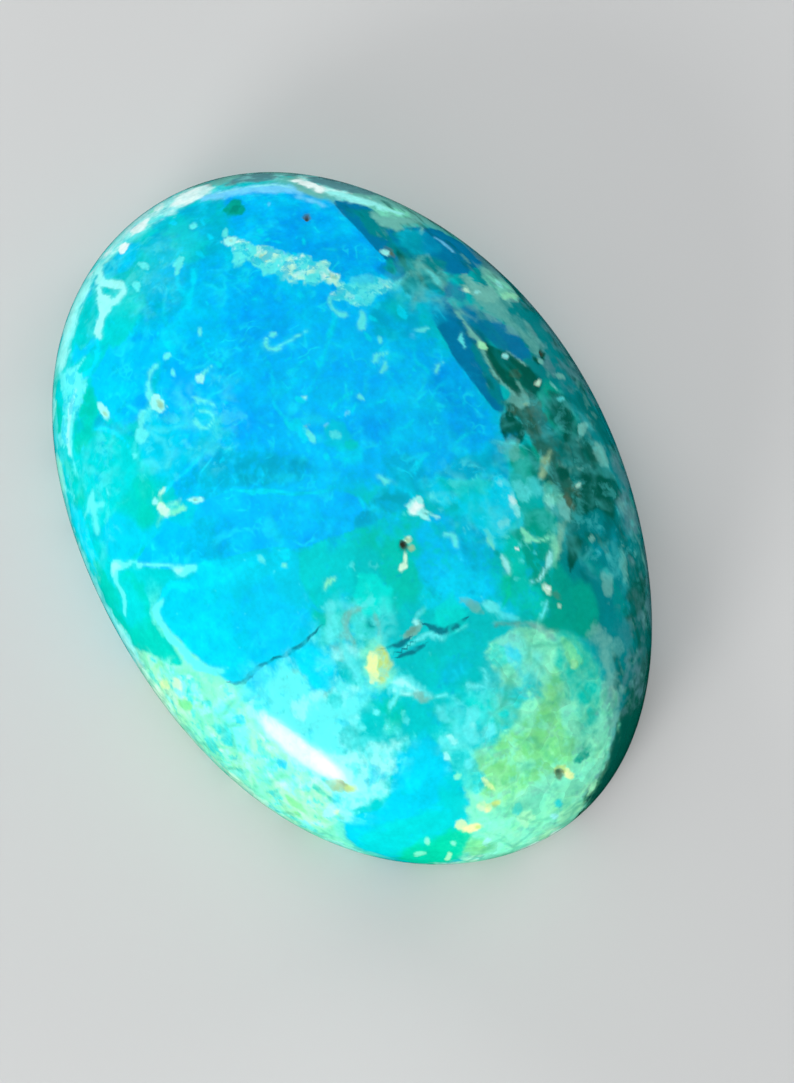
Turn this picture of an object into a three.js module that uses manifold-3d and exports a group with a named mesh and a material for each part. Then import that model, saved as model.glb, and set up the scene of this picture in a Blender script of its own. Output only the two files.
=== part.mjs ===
// An oval cabochon of Andean opal: one polished stone with a domed top, a rounded
// girdle, a narrow bevel under it and a flat back that it rests on.
// The frame is in millimetres: X runs along the stone, Y across it and Z up, and the
// origin is the middle of the flat back.
import * as THREE from "three";
import Module from "manifold-3d";
import { mergeVertices } from "three/addons/utils/BufferGeometryUtils.js";

// Driving dimensions.
const LENGTH = 30;
const WIDTH = 21;
const HEIGHT = 7.8;
const GIRDLE_HEIGHT = 0.9; // the widest level, above the back
const BACK_BEVEL = 0.45; // how far the back's edge is ground in

// The outline is an ellipse with the slight lobes of a stone shaped by hand, which are
// shares of the radius.
const HAND_CUT = [
  { lobes: 3, share: 0.0075, phase: 0.73 },
  { lobes: 4, share: 0.0042, phase: 3.91 },
  { lobes: 5, share: 0.0042, phase: -1.77 },
];
// The dome's section. A power of 2 is an ellipse, and more has fuller shoulders.
const DOME_POWER = 2.15;

// How finely the stone is faceted.
const OUTLINE_STEPS = 96;
const DOME_STEPS = 24;
const BEVEL_STEPS = 4;

// Natural pits that open on the dome: place on the plan, radius across and depth.
const PITS = [
  { name: "middle_pit", x: 4.0, y: -0.1, radius: 0.18, depth: 0.2 },
  { name: "crown_pit", x: -9.9, y: 3.5, radius: 0.17, depth: 0.13 },
  { name: "side_pit", x: -0.6, y: 8.7, radius: 0.16, depth: 0.12 },
  { name: "heel_pit", x: 13.4, y: 1.1, radius: 0.22, depth: 0.15 },
];
const PIT_DETAIL = 1;

const OPAL_TURQUOISE = 0x14a5c4;
const MERGE_DISTANCE = 1e-4;

// The outline's radius at an angle, as a share of an ellipse's.
function outlineShare(angle) {
  return HAND_CUT.reduce(
    (sum, { lobes, share, phase }) => sum + share * Math.cos(lobes * angle + phase),
    1,
  );
}

// The dome's height at a share of the outline's radius.
function domeHeight(share) {
  const rise = HEIGHT - GIRDLE_HEIGHT;
  return GIRDLE_HEIGHT + rise * (1 - share ** DOME_POWER) ** (1 / DOME_POWER);
}

// Half of the section as [share of the radius, height], from the back's middle to the top.
function sectionPoints() {
  const backShare = 1 - BACK_BEVEL / (WIDTH / 2);
  const points = [new THREE.Vector2(0, 0), new THREE.Vector2(backShare / 2, 0)];
  for (let i = 0; i < BEVEL_STEPS; i++) {
    const turn = (i / BEVEL_STEPS) * (Math.PI / 2);
    const share = backShare + (1 - backShare) * Math.sin(turn);
    points.push(new THREE.Vector2(share, GIRDLE_HEIGHT * (1 - Math.cos(turn))));
  }
  for (let i = 0; i < DOME_STEPS; i++) {
    const turn = (i / DOME_STEPS) * (Math.PI / 2);
    const share = Math.cos(turn) ** (2 / DOME_POWER);
    points.push(new THREE.Vector2(share, domeHeight(share)));
  }
  points.push(new THREE.Vector2(0, HEIGHT));
  return points;
}

// The whole stone without its pits: a round turning, warped to the oval outline.
function cabochonGeometry() {
  const geometry = new THREE.LatheGeometry(sectionPoints(), OUTLINE_STEPS);
  geometry.rotateX(Math.PI / 2);
  const position = geometry.getAttribute("position");
  for (let i = 0; i < position.count; i++) {
    const angle = Math.atan2(position.getY(i), position.getX(i));
    const share = outlineShare(angle);
    position.setXY(i, position.getX(i) * share, position.getY(i) * share);
  }
  geometry.computeBoundingBox();
  const { min, max } = geometry.boundingBox;
  geometry.translate(-(min.x + max.x) / 2, -(min.y + max.y) / 2, 0);
  geometry.scale(LENGTH / (max.x - min.x), WIDTH / (max.y - min.y), 1);
  return geometry;
}

// The height of the dome over a point of the plan, found by a ray from above.
function surfaceHeight(mesh, x, y) {
  const down = new THREE.Vector3(0, 0, -1);
  const ray = new THREE.Raycaster(new THREE.Vector3(x, y, 2 * HEIGHT), down);
  return ray.intersectObject(mesh)[0].point.z;
}

const wasm = await Module();
wasm.setup();

function solidOf(geometry) {
  const bare = new THREE.BufferGeometry();
  bare.setAttribute("position", geometry.getAttribute("position"));
  if (geometry.index) bare.setIndex(geometry.index);
  const merged = mergeVertices(bare, MERGE_DISTANCE);
  return new wasm.Manifold(
    new wasm.Mesh({
      numProp: 3,
      vertProperties: new Float32Array(merged.getAttribute("position").array),
      triVerts: new Uint32Array(merged.index.array),
    }),
  );
}

function geometryOf(solid) {
  const { vertProperties, triVerts } = solid.getMesh();
  const geometry = new THREE.BufferGeometry();
  geometry.setAttribute("position", new THREE.BufferAttribute(vertProperties, 3));
  geometry.setIndex(new THREE.BufferAttribute(triVerts, 1));
  return geometry;
}

// A pit is a small ball, flattened to its depth and sunk to its equator.
function pitGeometry({ x, y, radius, depth }, mesh) {
  const ball = new THREE.IcosahedronGeometry(1, PIT_DETAIL);
  ball.scale(radius, radius, depth);
  ball.translate(x, y, surfaceHeight(mesh, x, y));
  return ball;
}

function cabochon() {
  const material = new THREE.MeshStandardMaterial({
    color: OPAL_TURQUOISE,
    roughness: 0.15,
    metalness: 0,
  });
  const smooth = new THREE.Mesh(cabochonGeometry(), material);
  const pitted = PITS.reduce(
    (solid, pit) => solid.subtract(solidOf(pitGeometry(pit, smooth))),
    solidOf(smooth.geometry),
  );
  const geometry = geometryOf(pitted).toNonIndexed();
  geometry.computeVertexNormals();
  const mesh = new THREE.Mesh(geometry, material);
  mesh.name = "cabochon";
  return mesh;
}

const andeanOpal = new THREE.Group();
andeanOpal.add(cabochon());

export default andeanOpal;
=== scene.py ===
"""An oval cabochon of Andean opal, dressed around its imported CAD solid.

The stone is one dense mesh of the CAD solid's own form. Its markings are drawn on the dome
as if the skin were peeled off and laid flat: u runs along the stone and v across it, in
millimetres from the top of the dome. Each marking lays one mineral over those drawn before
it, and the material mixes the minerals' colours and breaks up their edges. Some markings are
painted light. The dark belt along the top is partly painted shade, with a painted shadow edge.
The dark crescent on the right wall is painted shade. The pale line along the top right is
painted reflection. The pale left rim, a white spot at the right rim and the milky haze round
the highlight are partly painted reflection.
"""
import bpy
import math
import numpy as np
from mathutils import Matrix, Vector


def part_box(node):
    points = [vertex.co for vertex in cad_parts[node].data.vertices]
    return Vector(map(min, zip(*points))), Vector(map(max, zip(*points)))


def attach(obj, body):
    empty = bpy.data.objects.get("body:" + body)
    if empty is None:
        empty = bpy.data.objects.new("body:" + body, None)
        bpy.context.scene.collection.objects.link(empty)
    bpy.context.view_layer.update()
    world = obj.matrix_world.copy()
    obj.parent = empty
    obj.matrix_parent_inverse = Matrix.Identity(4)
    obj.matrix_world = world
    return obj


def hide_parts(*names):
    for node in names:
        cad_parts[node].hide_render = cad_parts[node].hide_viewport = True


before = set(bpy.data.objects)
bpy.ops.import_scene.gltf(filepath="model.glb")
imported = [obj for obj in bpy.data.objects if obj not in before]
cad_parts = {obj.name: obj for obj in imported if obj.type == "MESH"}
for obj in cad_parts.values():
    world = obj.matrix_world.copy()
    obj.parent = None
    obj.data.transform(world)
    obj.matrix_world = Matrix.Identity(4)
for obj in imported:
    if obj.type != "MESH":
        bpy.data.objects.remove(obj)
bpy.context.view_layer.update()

MM = 0.001
FULL_TURN = 2 * math.pi
TINY = 1e-6
FAR = 1e9

# ---------------------------------------------------------------- the stone's form, in mm
STONE_LOW, STONE_HIGH = (np.array(corner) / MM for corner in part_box("cabochon"))
LENGTH, WIDTH, HEIGHT = STONE_HIGH - STONE_LOW
MIDDLE = (STONE_LOW + STONE_HIGH) / 2
GIRDLE_HEIGHT = 0.9  # the widest level, above the back
BACK_BEVEL = 0.45  # how far the back's edge is ground in
HAND_CUT = [(3, 0.0075, 0.73), (4, 0.0042, 3.91), (5, 0.0042, -1.77)]  # lobes, share, phase
DOME_POWER = 2.15  # a power of 2 is an ellipse, and more has fuller shoulders
MEAN_RADIUS = math.sqrt(LENGTH * WIDTH) / 2
BACK_SHARE = 1 - BACK_BEVEL / (WIDTH / 2)  # the flat back's share of the outline's radius
SECTION_POINTS = 2001
OUTLINE_POINTS = 2881

RING_STEP = 6  # ring number n has 6 n points, so the dome's mesh is even all over
DOME_RINGS = 172
RIM_COUNT = RING_STEP * DOME_RINGS
BEVEL_RINGS = 5
BACK_RINGS = [516, 258, 126, 60, 24, 6]  # points in each ring of the flat back, going in


def outline_share(angle):
    """The outline's radius at an angle, as a share of an ellipse's."""
    return 1 + sum(share * np.cos(lobes * angle + phase) for lobes, share, phase in HAND_CUT)


def dome_height(share):
    """The dome's height at a share of the outline's radius."""
    rise = HEIGHT - GIRDLE_HEIGHT
    return GIRDLE_HEIGHT + rise * (1 - np.clip(share, 0, 1) ** DOME_POWER) ** (1 / DOME_POWER)


def section_lengths():
    """Shares of the radius from the top to the girdle, and the way along the skin to each."""
    turn = np.linspace(0, math.pi / 2, SECTION_POINTS)
    share = np.sin(turn) ** (2 / DOME_POWER)
    steps = np.hypot(np.diff(share) * MEAN_RADIUS, np.diff(dome_height(share)))
    return share, np.concatenate([[0], np.cumsum(steps)]) / MEAN_RADIUS


SECTION_SHARE, SECTION_WAY = section_lengths()
GIRDLE_WAY = SECTION_WAY[-1]
BELOW_WAY = GIRDLE_WAY + 1  # stands for the way to any point under the girdle

ALL_ROUND = np.linspace(0, FULL_TURN, OUTLINE_POINTS)
OUTLINE_X = outline_share(ALL_ROUND) * np.cos(ALL_ROUND)
OUTLINE_Y = outline_share(ALL_ROUND) * np.sin(ALL_ROUND)
SCALE_X = LENGTH / np.ptp(OUTLINE_X)
SCALE_Y = WIDTH / np.ptp(OUTLINE_Y)
SHIFT_X = (OUTLINE_X.min() + OUTLINE_X.max()) / 2
SHIFT_Y = (OUTLINE_Y.min() + OUTLINE_Y.max()) / 2


def plan_points(angle, share):
    """Points of the plan at an angle and a share of the outline's radius."""
    radius = outline_share(angle) * share
    x = (radius * np.cos(angle) - SHIFT_X) * SCALE_X
    y = (radius * np.sin(angle) - SHIFT_Y) * SCALE_Y
    return x + MIDDLE[0], y + MIDDLE[1]


# ---------------------------------------------------------------------- repeatable noise
HASH_X, HASH_Y, HASH_Z, HASH_SEED = 73856093, 19349663, 83492791, 1640531527
HASH_MIX = 1274126177
HASH_HALF = 32767.5  # half of the largest number that 16 bits hold
NOISE_SHIFT = 1000.0  # keeps the lattice's numbers above 0
OCTAVE_FADE = 1.6  # how many times weaker each finer layer of noise is
CLOUD_GAIN = 1.5  # brings the layers' sum back to about -1 to 1


def lattice(ix, iy, iz, seed):
    """A number from -1 to 1 for each whole-number point, the same on every run."""
    mixed = (ix * HASH_X) ^ (iy * HASH_Y) ^ (iz * HASH_Z) ^ (seed * HASH_SEED)
    mixed = ((mixed ^ (mixed >> 13)) * HASH_MIX) & 0xFFFFFFFF
    return ((mixed ^ (mixed >> 16)) & 0xFFFF) / HASH_HALF - 1


def value_noise(places, size, seed):
    """Smooth noise from -1 to 1 whose lumps are about size mm across."""
    scaled = places / size + NOISE_SHIFT
    low = np.floor(scaled).astype(np.int64)
    ease = (scaled - low) ** 2 * (3 - 2 * (scaled - low))
    total = 0
    for dx in (0, 1):
        for dy in (0, 1):
            for dz in (0, 1):
                weight = np.prod(np.where([dx, dy, dz], ease, 1 - ease), axis=1)
                corner = lattice(low[:, 0] + dx, low[:, 1] + dy, low[:, 2] + dz, seed)
                total = total + weight * corner
    return total


def cloud(places, size, seed, octaves):
    """Noise with finer lumps on the coarse ones, from about -1 to 1."""
    total = sum(value_noise(places, size / 2**n, seed + n) / OCTAVE_FADE**n for n in range(octaves))
    return total / sum(1 / OCTAVE_FADE**n for n in range(octaves)) * CLOUD_GAIN


# ------------------------------------------------------------------------------ the mesh
def section_rings():
    """The rings of points below the top, each as (count, share of the radius, height, way)."""
    rings = []
    for n in range(1, DOME_RINGS + 1):
        way = GIRDLE_WAY * n / DOME_RINGS
        share = float(np.interp(way, SECTION_WAY, SECTION_SHARE))
        rings.append((RING_STEP * n, share, float(dome_height(share)), way))
    for n in range(1, BEVEL_RINGS + 1):
        turn = math.pi / 2 * (1 - n / BEVEL_RINGS)
        share = BACK_SHARE + (1 - BACK_SHARE) * math.sin(turn)
        rings.append((RIM_COUNT, share, GIRDLE_HEIGHT * (1 - math.cos(turn)), BELOW_WAY))
    for n, count in enumerate(BACK_RINGS, start=1):
        share = BACK_SHARE * (1 - n / (len(BACK_RINGS) + 1))
        rings.append((count, share, 0.0, BELOW_WAY))
    return rings


def stitch(faces, first, first_count, second, second_count):
    """Joins two rings of points, the first inside or above the second, with triangles."""
    i = j = 0
    while i < first_count or j < second_count:
        a, b = first + i % first_count, second + j % second_count
        second_lags = (j + 0.5) * first_count <= (i + 0.5) * second_count
        if i == first_count or (j < second_count and second_lags):
            faces.append((a, b, second + (j + 1) % second_count))
            j += 1
        else:
            faces.append((a, b, first + (i + 1) % first_count))
            i += 1


def stone_mesh():
    """Points of the stone in mm, the way along the skin to each, and the triangles."""
    rings = section_rings()
    angles, radius_shares, ways = [np.zeros(1)], [np.zeros(1)], [np.zeros(1)]
    heights = [np.full(1, HEIGHT)]
    starts = []
    total = 1
    for count, share, height, way in rings:
        starts.append(total)
        angles.append(np.arange(count) * FULL_TURN / count)
        radius_shares.append(np.full(count, share))
        heights.append(np.full(count, height))
        ways.append(np.full(count, way))
        total += count
    x, y = plan_points(np.concatenate(angles), np.concatenate(radius_shares))
    points = np.stack([x, y, np.concatenate(heights) + STONE_LOW[2]], axis=1)
    points = np.vstack([points, [MIDDLE[0], MIDDLE[1], STONE_LOW[2]]])

    first_count, last_count = rings[0][0], rings[-1][0]
    faces = [(0, 1 + i, 1 + (i + 1) % first_count) for i in range(first_count)]
    for above, below, start, next_start in zip(rings, rings[1:], starts, starts[1:]):
        stitch(faces, start, above[0], next_start, below[0])
    last_start = starts[-1]
    faces += [(total, last_start + (i + 1) % last_count, last_start + i) for i in range(last_count)]
    return points, np.append(np.concatenate(ways), BELOW_WAY), faces


points, way, faces = stone_mesh()
on_top = way < GIRDLE_WAY + TINY
# The peeled skin: u along the stone and v across it.
share_of_way = np.maximum(np.interp(way, SECTION_WAY, SECTION_SHARE), TINY)
peel = np.where(way > TINY, way / share_of_way, 1)[:, None]
skin = points[:, :2] * peel
sheet = np.c_[skin, np.zeros(len(skin))]  # the skin as places for the noise

# ------------------------------------------------------------------- the minerals' colours
# In sRGB from 0 to 255, in the order that the material mixes them: a later one breaks up the
# edge of an earlier one. Most are the stone's own colours. The dark greens, blues and greys also
# stand in for painted shade on the top side and the right wall, and the pale whites and greys
# stand in for painted reflection at the rims and round the highlight.
MINERALS = {
    "lagoon": (0, 193, 194),
    "teal": (0, 172, 206),
    "sapphire": (0, 166, 239),
    "azure": (0, 182, 246),
    "sky": (0, 190, 235),
    "cyan": (0, 195, 221),
    "glint": (0, 214, 241),
    "aqua": (0, 203, 205),
    "spring": (0, 224, 212),
    "sea": (0, 196, 178),
    "petrol": (0, 120, 164),
    "ocean": (0, 134, 138),
    "jade": (0, 162, 140),
    "bottle": (0, 88, 74),
    "emerald": (0, 204, 160),
    "smoke": (34, 104, 92),
    "slate": (84, 140, 146),
    "sage": (106, 184, 172),
    "mint": (124, 236, 196),
    "lime": (114, 218, 138),
    "pistachio": (160, 244, 190),
    "ice": (88, 230, 230),
    "frost": (112, 208, 248),
    "milk": (150, 244, 238),
    "white": (232, 252, 248),
    "cream": (200, 248, 218),
    "butter": (226, 250, 168),
    "gold": (188, 216, 112),
    # the slate grey below is painted shade, used only on the shaded top side and its rims
    "sand": (148, 192, 150),
    "umber": (88, 108, 82),
    "pit": (64, 58, 38),
}
mineral_names = list(MINERALS)
shares = np.zeros((len(MINERALS), len(points)))  # how much of each mineral a point shows
shares[0] = 1.0

# ------------------------------------------------------------------ how markings are drawn
# Noise over the skin that makes the markings' edges uneven.
broad = cloud(sheet, 2.2, 7, 4)
ragged = cloud(sheet, 0.9, 11, 4)
frayed = cloud(sheet, 0.35, 23, 3)

CURVE_STEPS = 4  # straight steps between two stops of a curve
BROAD_FROM = 0.12  # an edge softer than this is bent by the broad noise
BROAD_BEND = 1.4
VEIN_ROUGH = 0.05
VEIN_WIDTH, VEIN_SWELL = 1.15, 0.45  # shares of the width that the stops give
HALO_REACH = 0.16
HALO_STRENGTH = 0.25


def smooth(low, high, value):
    """Goes from 0 to 1 with a smooth start and end, as the value goes from low to high."""
    t = np.clip((value - low) / (high - low), 0, 1)
    return t * t * (3 - 2 * t)


def curve_through(stops, closed):
    """A smooth run of points through the stops, which may carry a width as a third number."""
    stops = np.array(stops, float)
    count = len(stops)
    runs = []
    for i in range(count if closed else count - 1):
        if closed:
            p0, p1, p2, p3 = (stops[(i + k) % count] for k in (-1, 0, 1, 2))
        else:
            p0, p1, p2, p3 = (stops[min(max(i + k, 0), count - 1)] for k in (-1, 0, 1, 2))
        t = np.linspace(0, 1, CURVE_STEPS + 1)[:-1, None]
        runs.append(p1 + (p2 - p0) * t / 2 + (p0 - 2.5 * p1 + 2 * p2 - p3 / 2) * t**2
                    + (1.5 * p1 - p0 / 2 - 1.5 * p2 + p3 / 2) * t**3)
    if not closed:
        runs.append(stops[-1:])
    return np.vstack(runs)


def near(stops, reach):
    """Which points of the dome lie within reach of the box around the stops."""
    low, high = stops[:, :2].min(0) - reach, stops[:, :2].max(0) + reach
    return np.flatnonzero(on_top & ((skin >= low) & (skin <= high)).all(axis=1))


def to_segment(places, start, end):
    """Distance of each place from a segment, and how far along it the nearest point is."""
    along = end - start
    t = np.clip(((places - start) @ along) / max(along @ along, TINY**2), 0, 1)
    return np.hypot(*(places - start - t[:, None] * along).T), t


def patch(stops, soft, rough):
    """Cover of a closed patch: its points and how fully it covers each."""
    outline = curve_through(stops, closed=True)
    found = near(outline, soft + rough * 1.5)
    places = skin[found]
    distance = np.full(len(found), FAR)
    inside = np.zeros(len(found), bool)
    for start, end in zip(outline, np.roll(outline, -1, axis=0)):
        distance = np.minimum(distance, to_segment(places, start, end)[0])
        crosses = (start[1] > places[:, 1]) != (end[1] > places[:, 1])
        with np.errstate(divide="ignore", invalid="ignore"):
            at = start[0] + (places[:, 1] - start[1]) * (end[0] - start[0]) / (end[1] - start[1])
        inside ^= crosses & (places[:, 0] < at)
    signed = np.where(inside, distance, -distance)
    signed = signed + rough * (ragged[found] + 0.5 * frayed[found])
    signed = signed + BROAD_BEND * max(0, soft - BROAD_FROM) * broad[found]
    return found, smooth(-soft, soft, signed)


def streak(stops, soft):
    """Cover of an uneven vein through stops of (u, v, half its width), with a faint halo."""
    route = curve_through(stops, closed=False)
    found = near(route, route[:, 2].max() + HALO_REACH + VEIN_ROUGH * 3)
    wander = VEIN_ROUGH * np.stack([ragged[found], frayed[found]], axis=1)
    uneven = VEIN_WIDTH + VEIN_SWELL * frayed[found]
    signed = np.full(len(found), -FAR)
    for start, end in zip(route, route[1:]):
        distance, t = to_segment(skin[found] + wander, start[:2], end[:2])
        width = (start[2] + (end[2] - start[2]) * t) * uneven
        signed = np.maximum(signed, width - distance)
    signed = signed + VEIN_ROUGH * 0.6 * frayed[found]
    halo = HALO_STRENGTH * smooth(-HALO_REACH - soft, 0, signed)
    return found, np.maximum(smooth(-soft, soft, signed), halo)


def spot(u, v, long, wide, turn, soft=None, rough=0.5):
    """Cover of an uneven spot of half-length long and half-width wide, turned in degrees."""
    small = min(long, wide)
    soft = max(0.06, 0.3 * small) if soft is None else soft
    found = near(np.array([[u, v]]), max(long, wide) * (1 + rough) + soft)
    cos, sin = math.cos(math.radians(turn)), math.sin(math.radians(turn))
    du, dv = (skin[found] - (u, v)).T
    reach = np.hypot((du * cos + dv * sin) / long, (dv * cos - du * sin) / wide)
    seed = int(abs(u * 97 + v * 61)) % 89  # depends on the place, so that most spots differ
    wobble = cloud(sheet[found], max(1.3 * small, 0.25), seed, 3)
    signed = (1 - reach + rough * wobble) * small
    return found, smooth(-soft, soft, signed)


def lay(mineral, cover, strength=1.0):
    """Lays a mineral over what is there."""
    found, amount = cover
    amount = amount * strength
    shares[:, found] *= 1 - amount
    shares[mineral_names.index(mineral), found] += amount


def blend(mineral, u, v, long, wide, turn=0, strength=1.0):
    """Lays a soft drift of colour with no edge."""
    soft = min(long, wide) * 0.6
    lay(mineral, spot(u, v, long, wide, turn, soft, 0.25), strength)


def sow(grains, cover, places, octaves):
    """Lays grains of minerals over a cover.

    A grain is (mineral, size of the grains, seed, noise where a grain starts and where it is
    whole, strength).
    """
    found, amount = cover
    for mineral, size, seed, low, high, strength in grains:
        grown = smooth(low, high, cloud(places, size, seed, octaves))
        lay(mineral, (found, amount * grown), strength)


def all_over(cover):
    """A cover as one value for each point of the stone."""
    values = np.zeros(len(points))
    values[cover[0]] = cover[1]
    return values


# ------------------------------------------------------------------------- body colours
# A drift is (mineral, u, v, half length, half width), then its turn in degrees if it has one,
# and how strong it is if that isn't 1.
DRIFTS = [
    ("aqua", -6, -9.5, 7, 3, -8), ("lagoon", -12, -2, 3, 5), ("azure", -5, 0, 5.5, 5, 0),
    ("sapphire", -9.5, 3.2, 3.5, 2, 20), ("cyan", 3, -6, 2.6, 3.5, 0), ("sea", 4.5, -1.5, 2.4, 3, 0),
    ("azure", 0.5, 3, 3.2, 2.4, 0), ("lagoon", 7, -1, 2, 3, 0), ("aqua", 11, -1.5, 2.2, 1.8, 0),
    ("ice", 7.5, -6, 2.4, 2, 20), ("mint", 8, -10, 8, 2.6, 10), ("mint", 15, 0, 4, 4, 0),
    # the ocean and bottle drifts along the top side are partly painted shade
    ("jade", 7, 4, 3, 2, 0), ("ocean", 8.5, 7, 3.5, 2.4, -20), ("ocean", 0, 10, 9, 3, 0),
    ("sage", -12, 7, 5, 2.5, 40), ("ice", -15, -2, 1.6, 6, 5), ("ocean", 12, 8, 5, 3, -35),
    ("bottle", 11, 8.2, 5, 2, -35, 0.6), ("bottle", 4, 7.6, 4, 1.4, -10, 0.5),
    ("aqua", -3, -11, 5, 1.6, 0), ("aqua", -9, -6, 3, 2, 0),
]
for drift in DRIFTS:
    blend(*drift)

# Two outlines that are used more than once: the granular lower edge and the pale lower left.
LOWER_MATRIX = [
    (1.7, -11.4), (2.5, -10.6), (3.4, -9.6), (4.6, -8.5), (5.6, -8), (7.2, -8), (9.6, -7.4),
    (11.6, -7.2), (12.6, -7.9), (14.2, -8), (15.4, -7.6), (12, -10.8), (8, -12.6), (4, -13.2),
    (1.6, -13.2),
]
PALE_SPOTS = [
    (-9.8, -7.6), (-8.5, -7.4), (-8.2, -8.2), (-7.8, -8.8), (-7.3, -9.3), (-6.7, -9.6), (-7.6, -9.8),
    (-8.4, -10), (-8.6, -9.3), (-9.4, -8.8), (-10.4, -8.6), (-10.3, -8.1),
]
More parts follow.
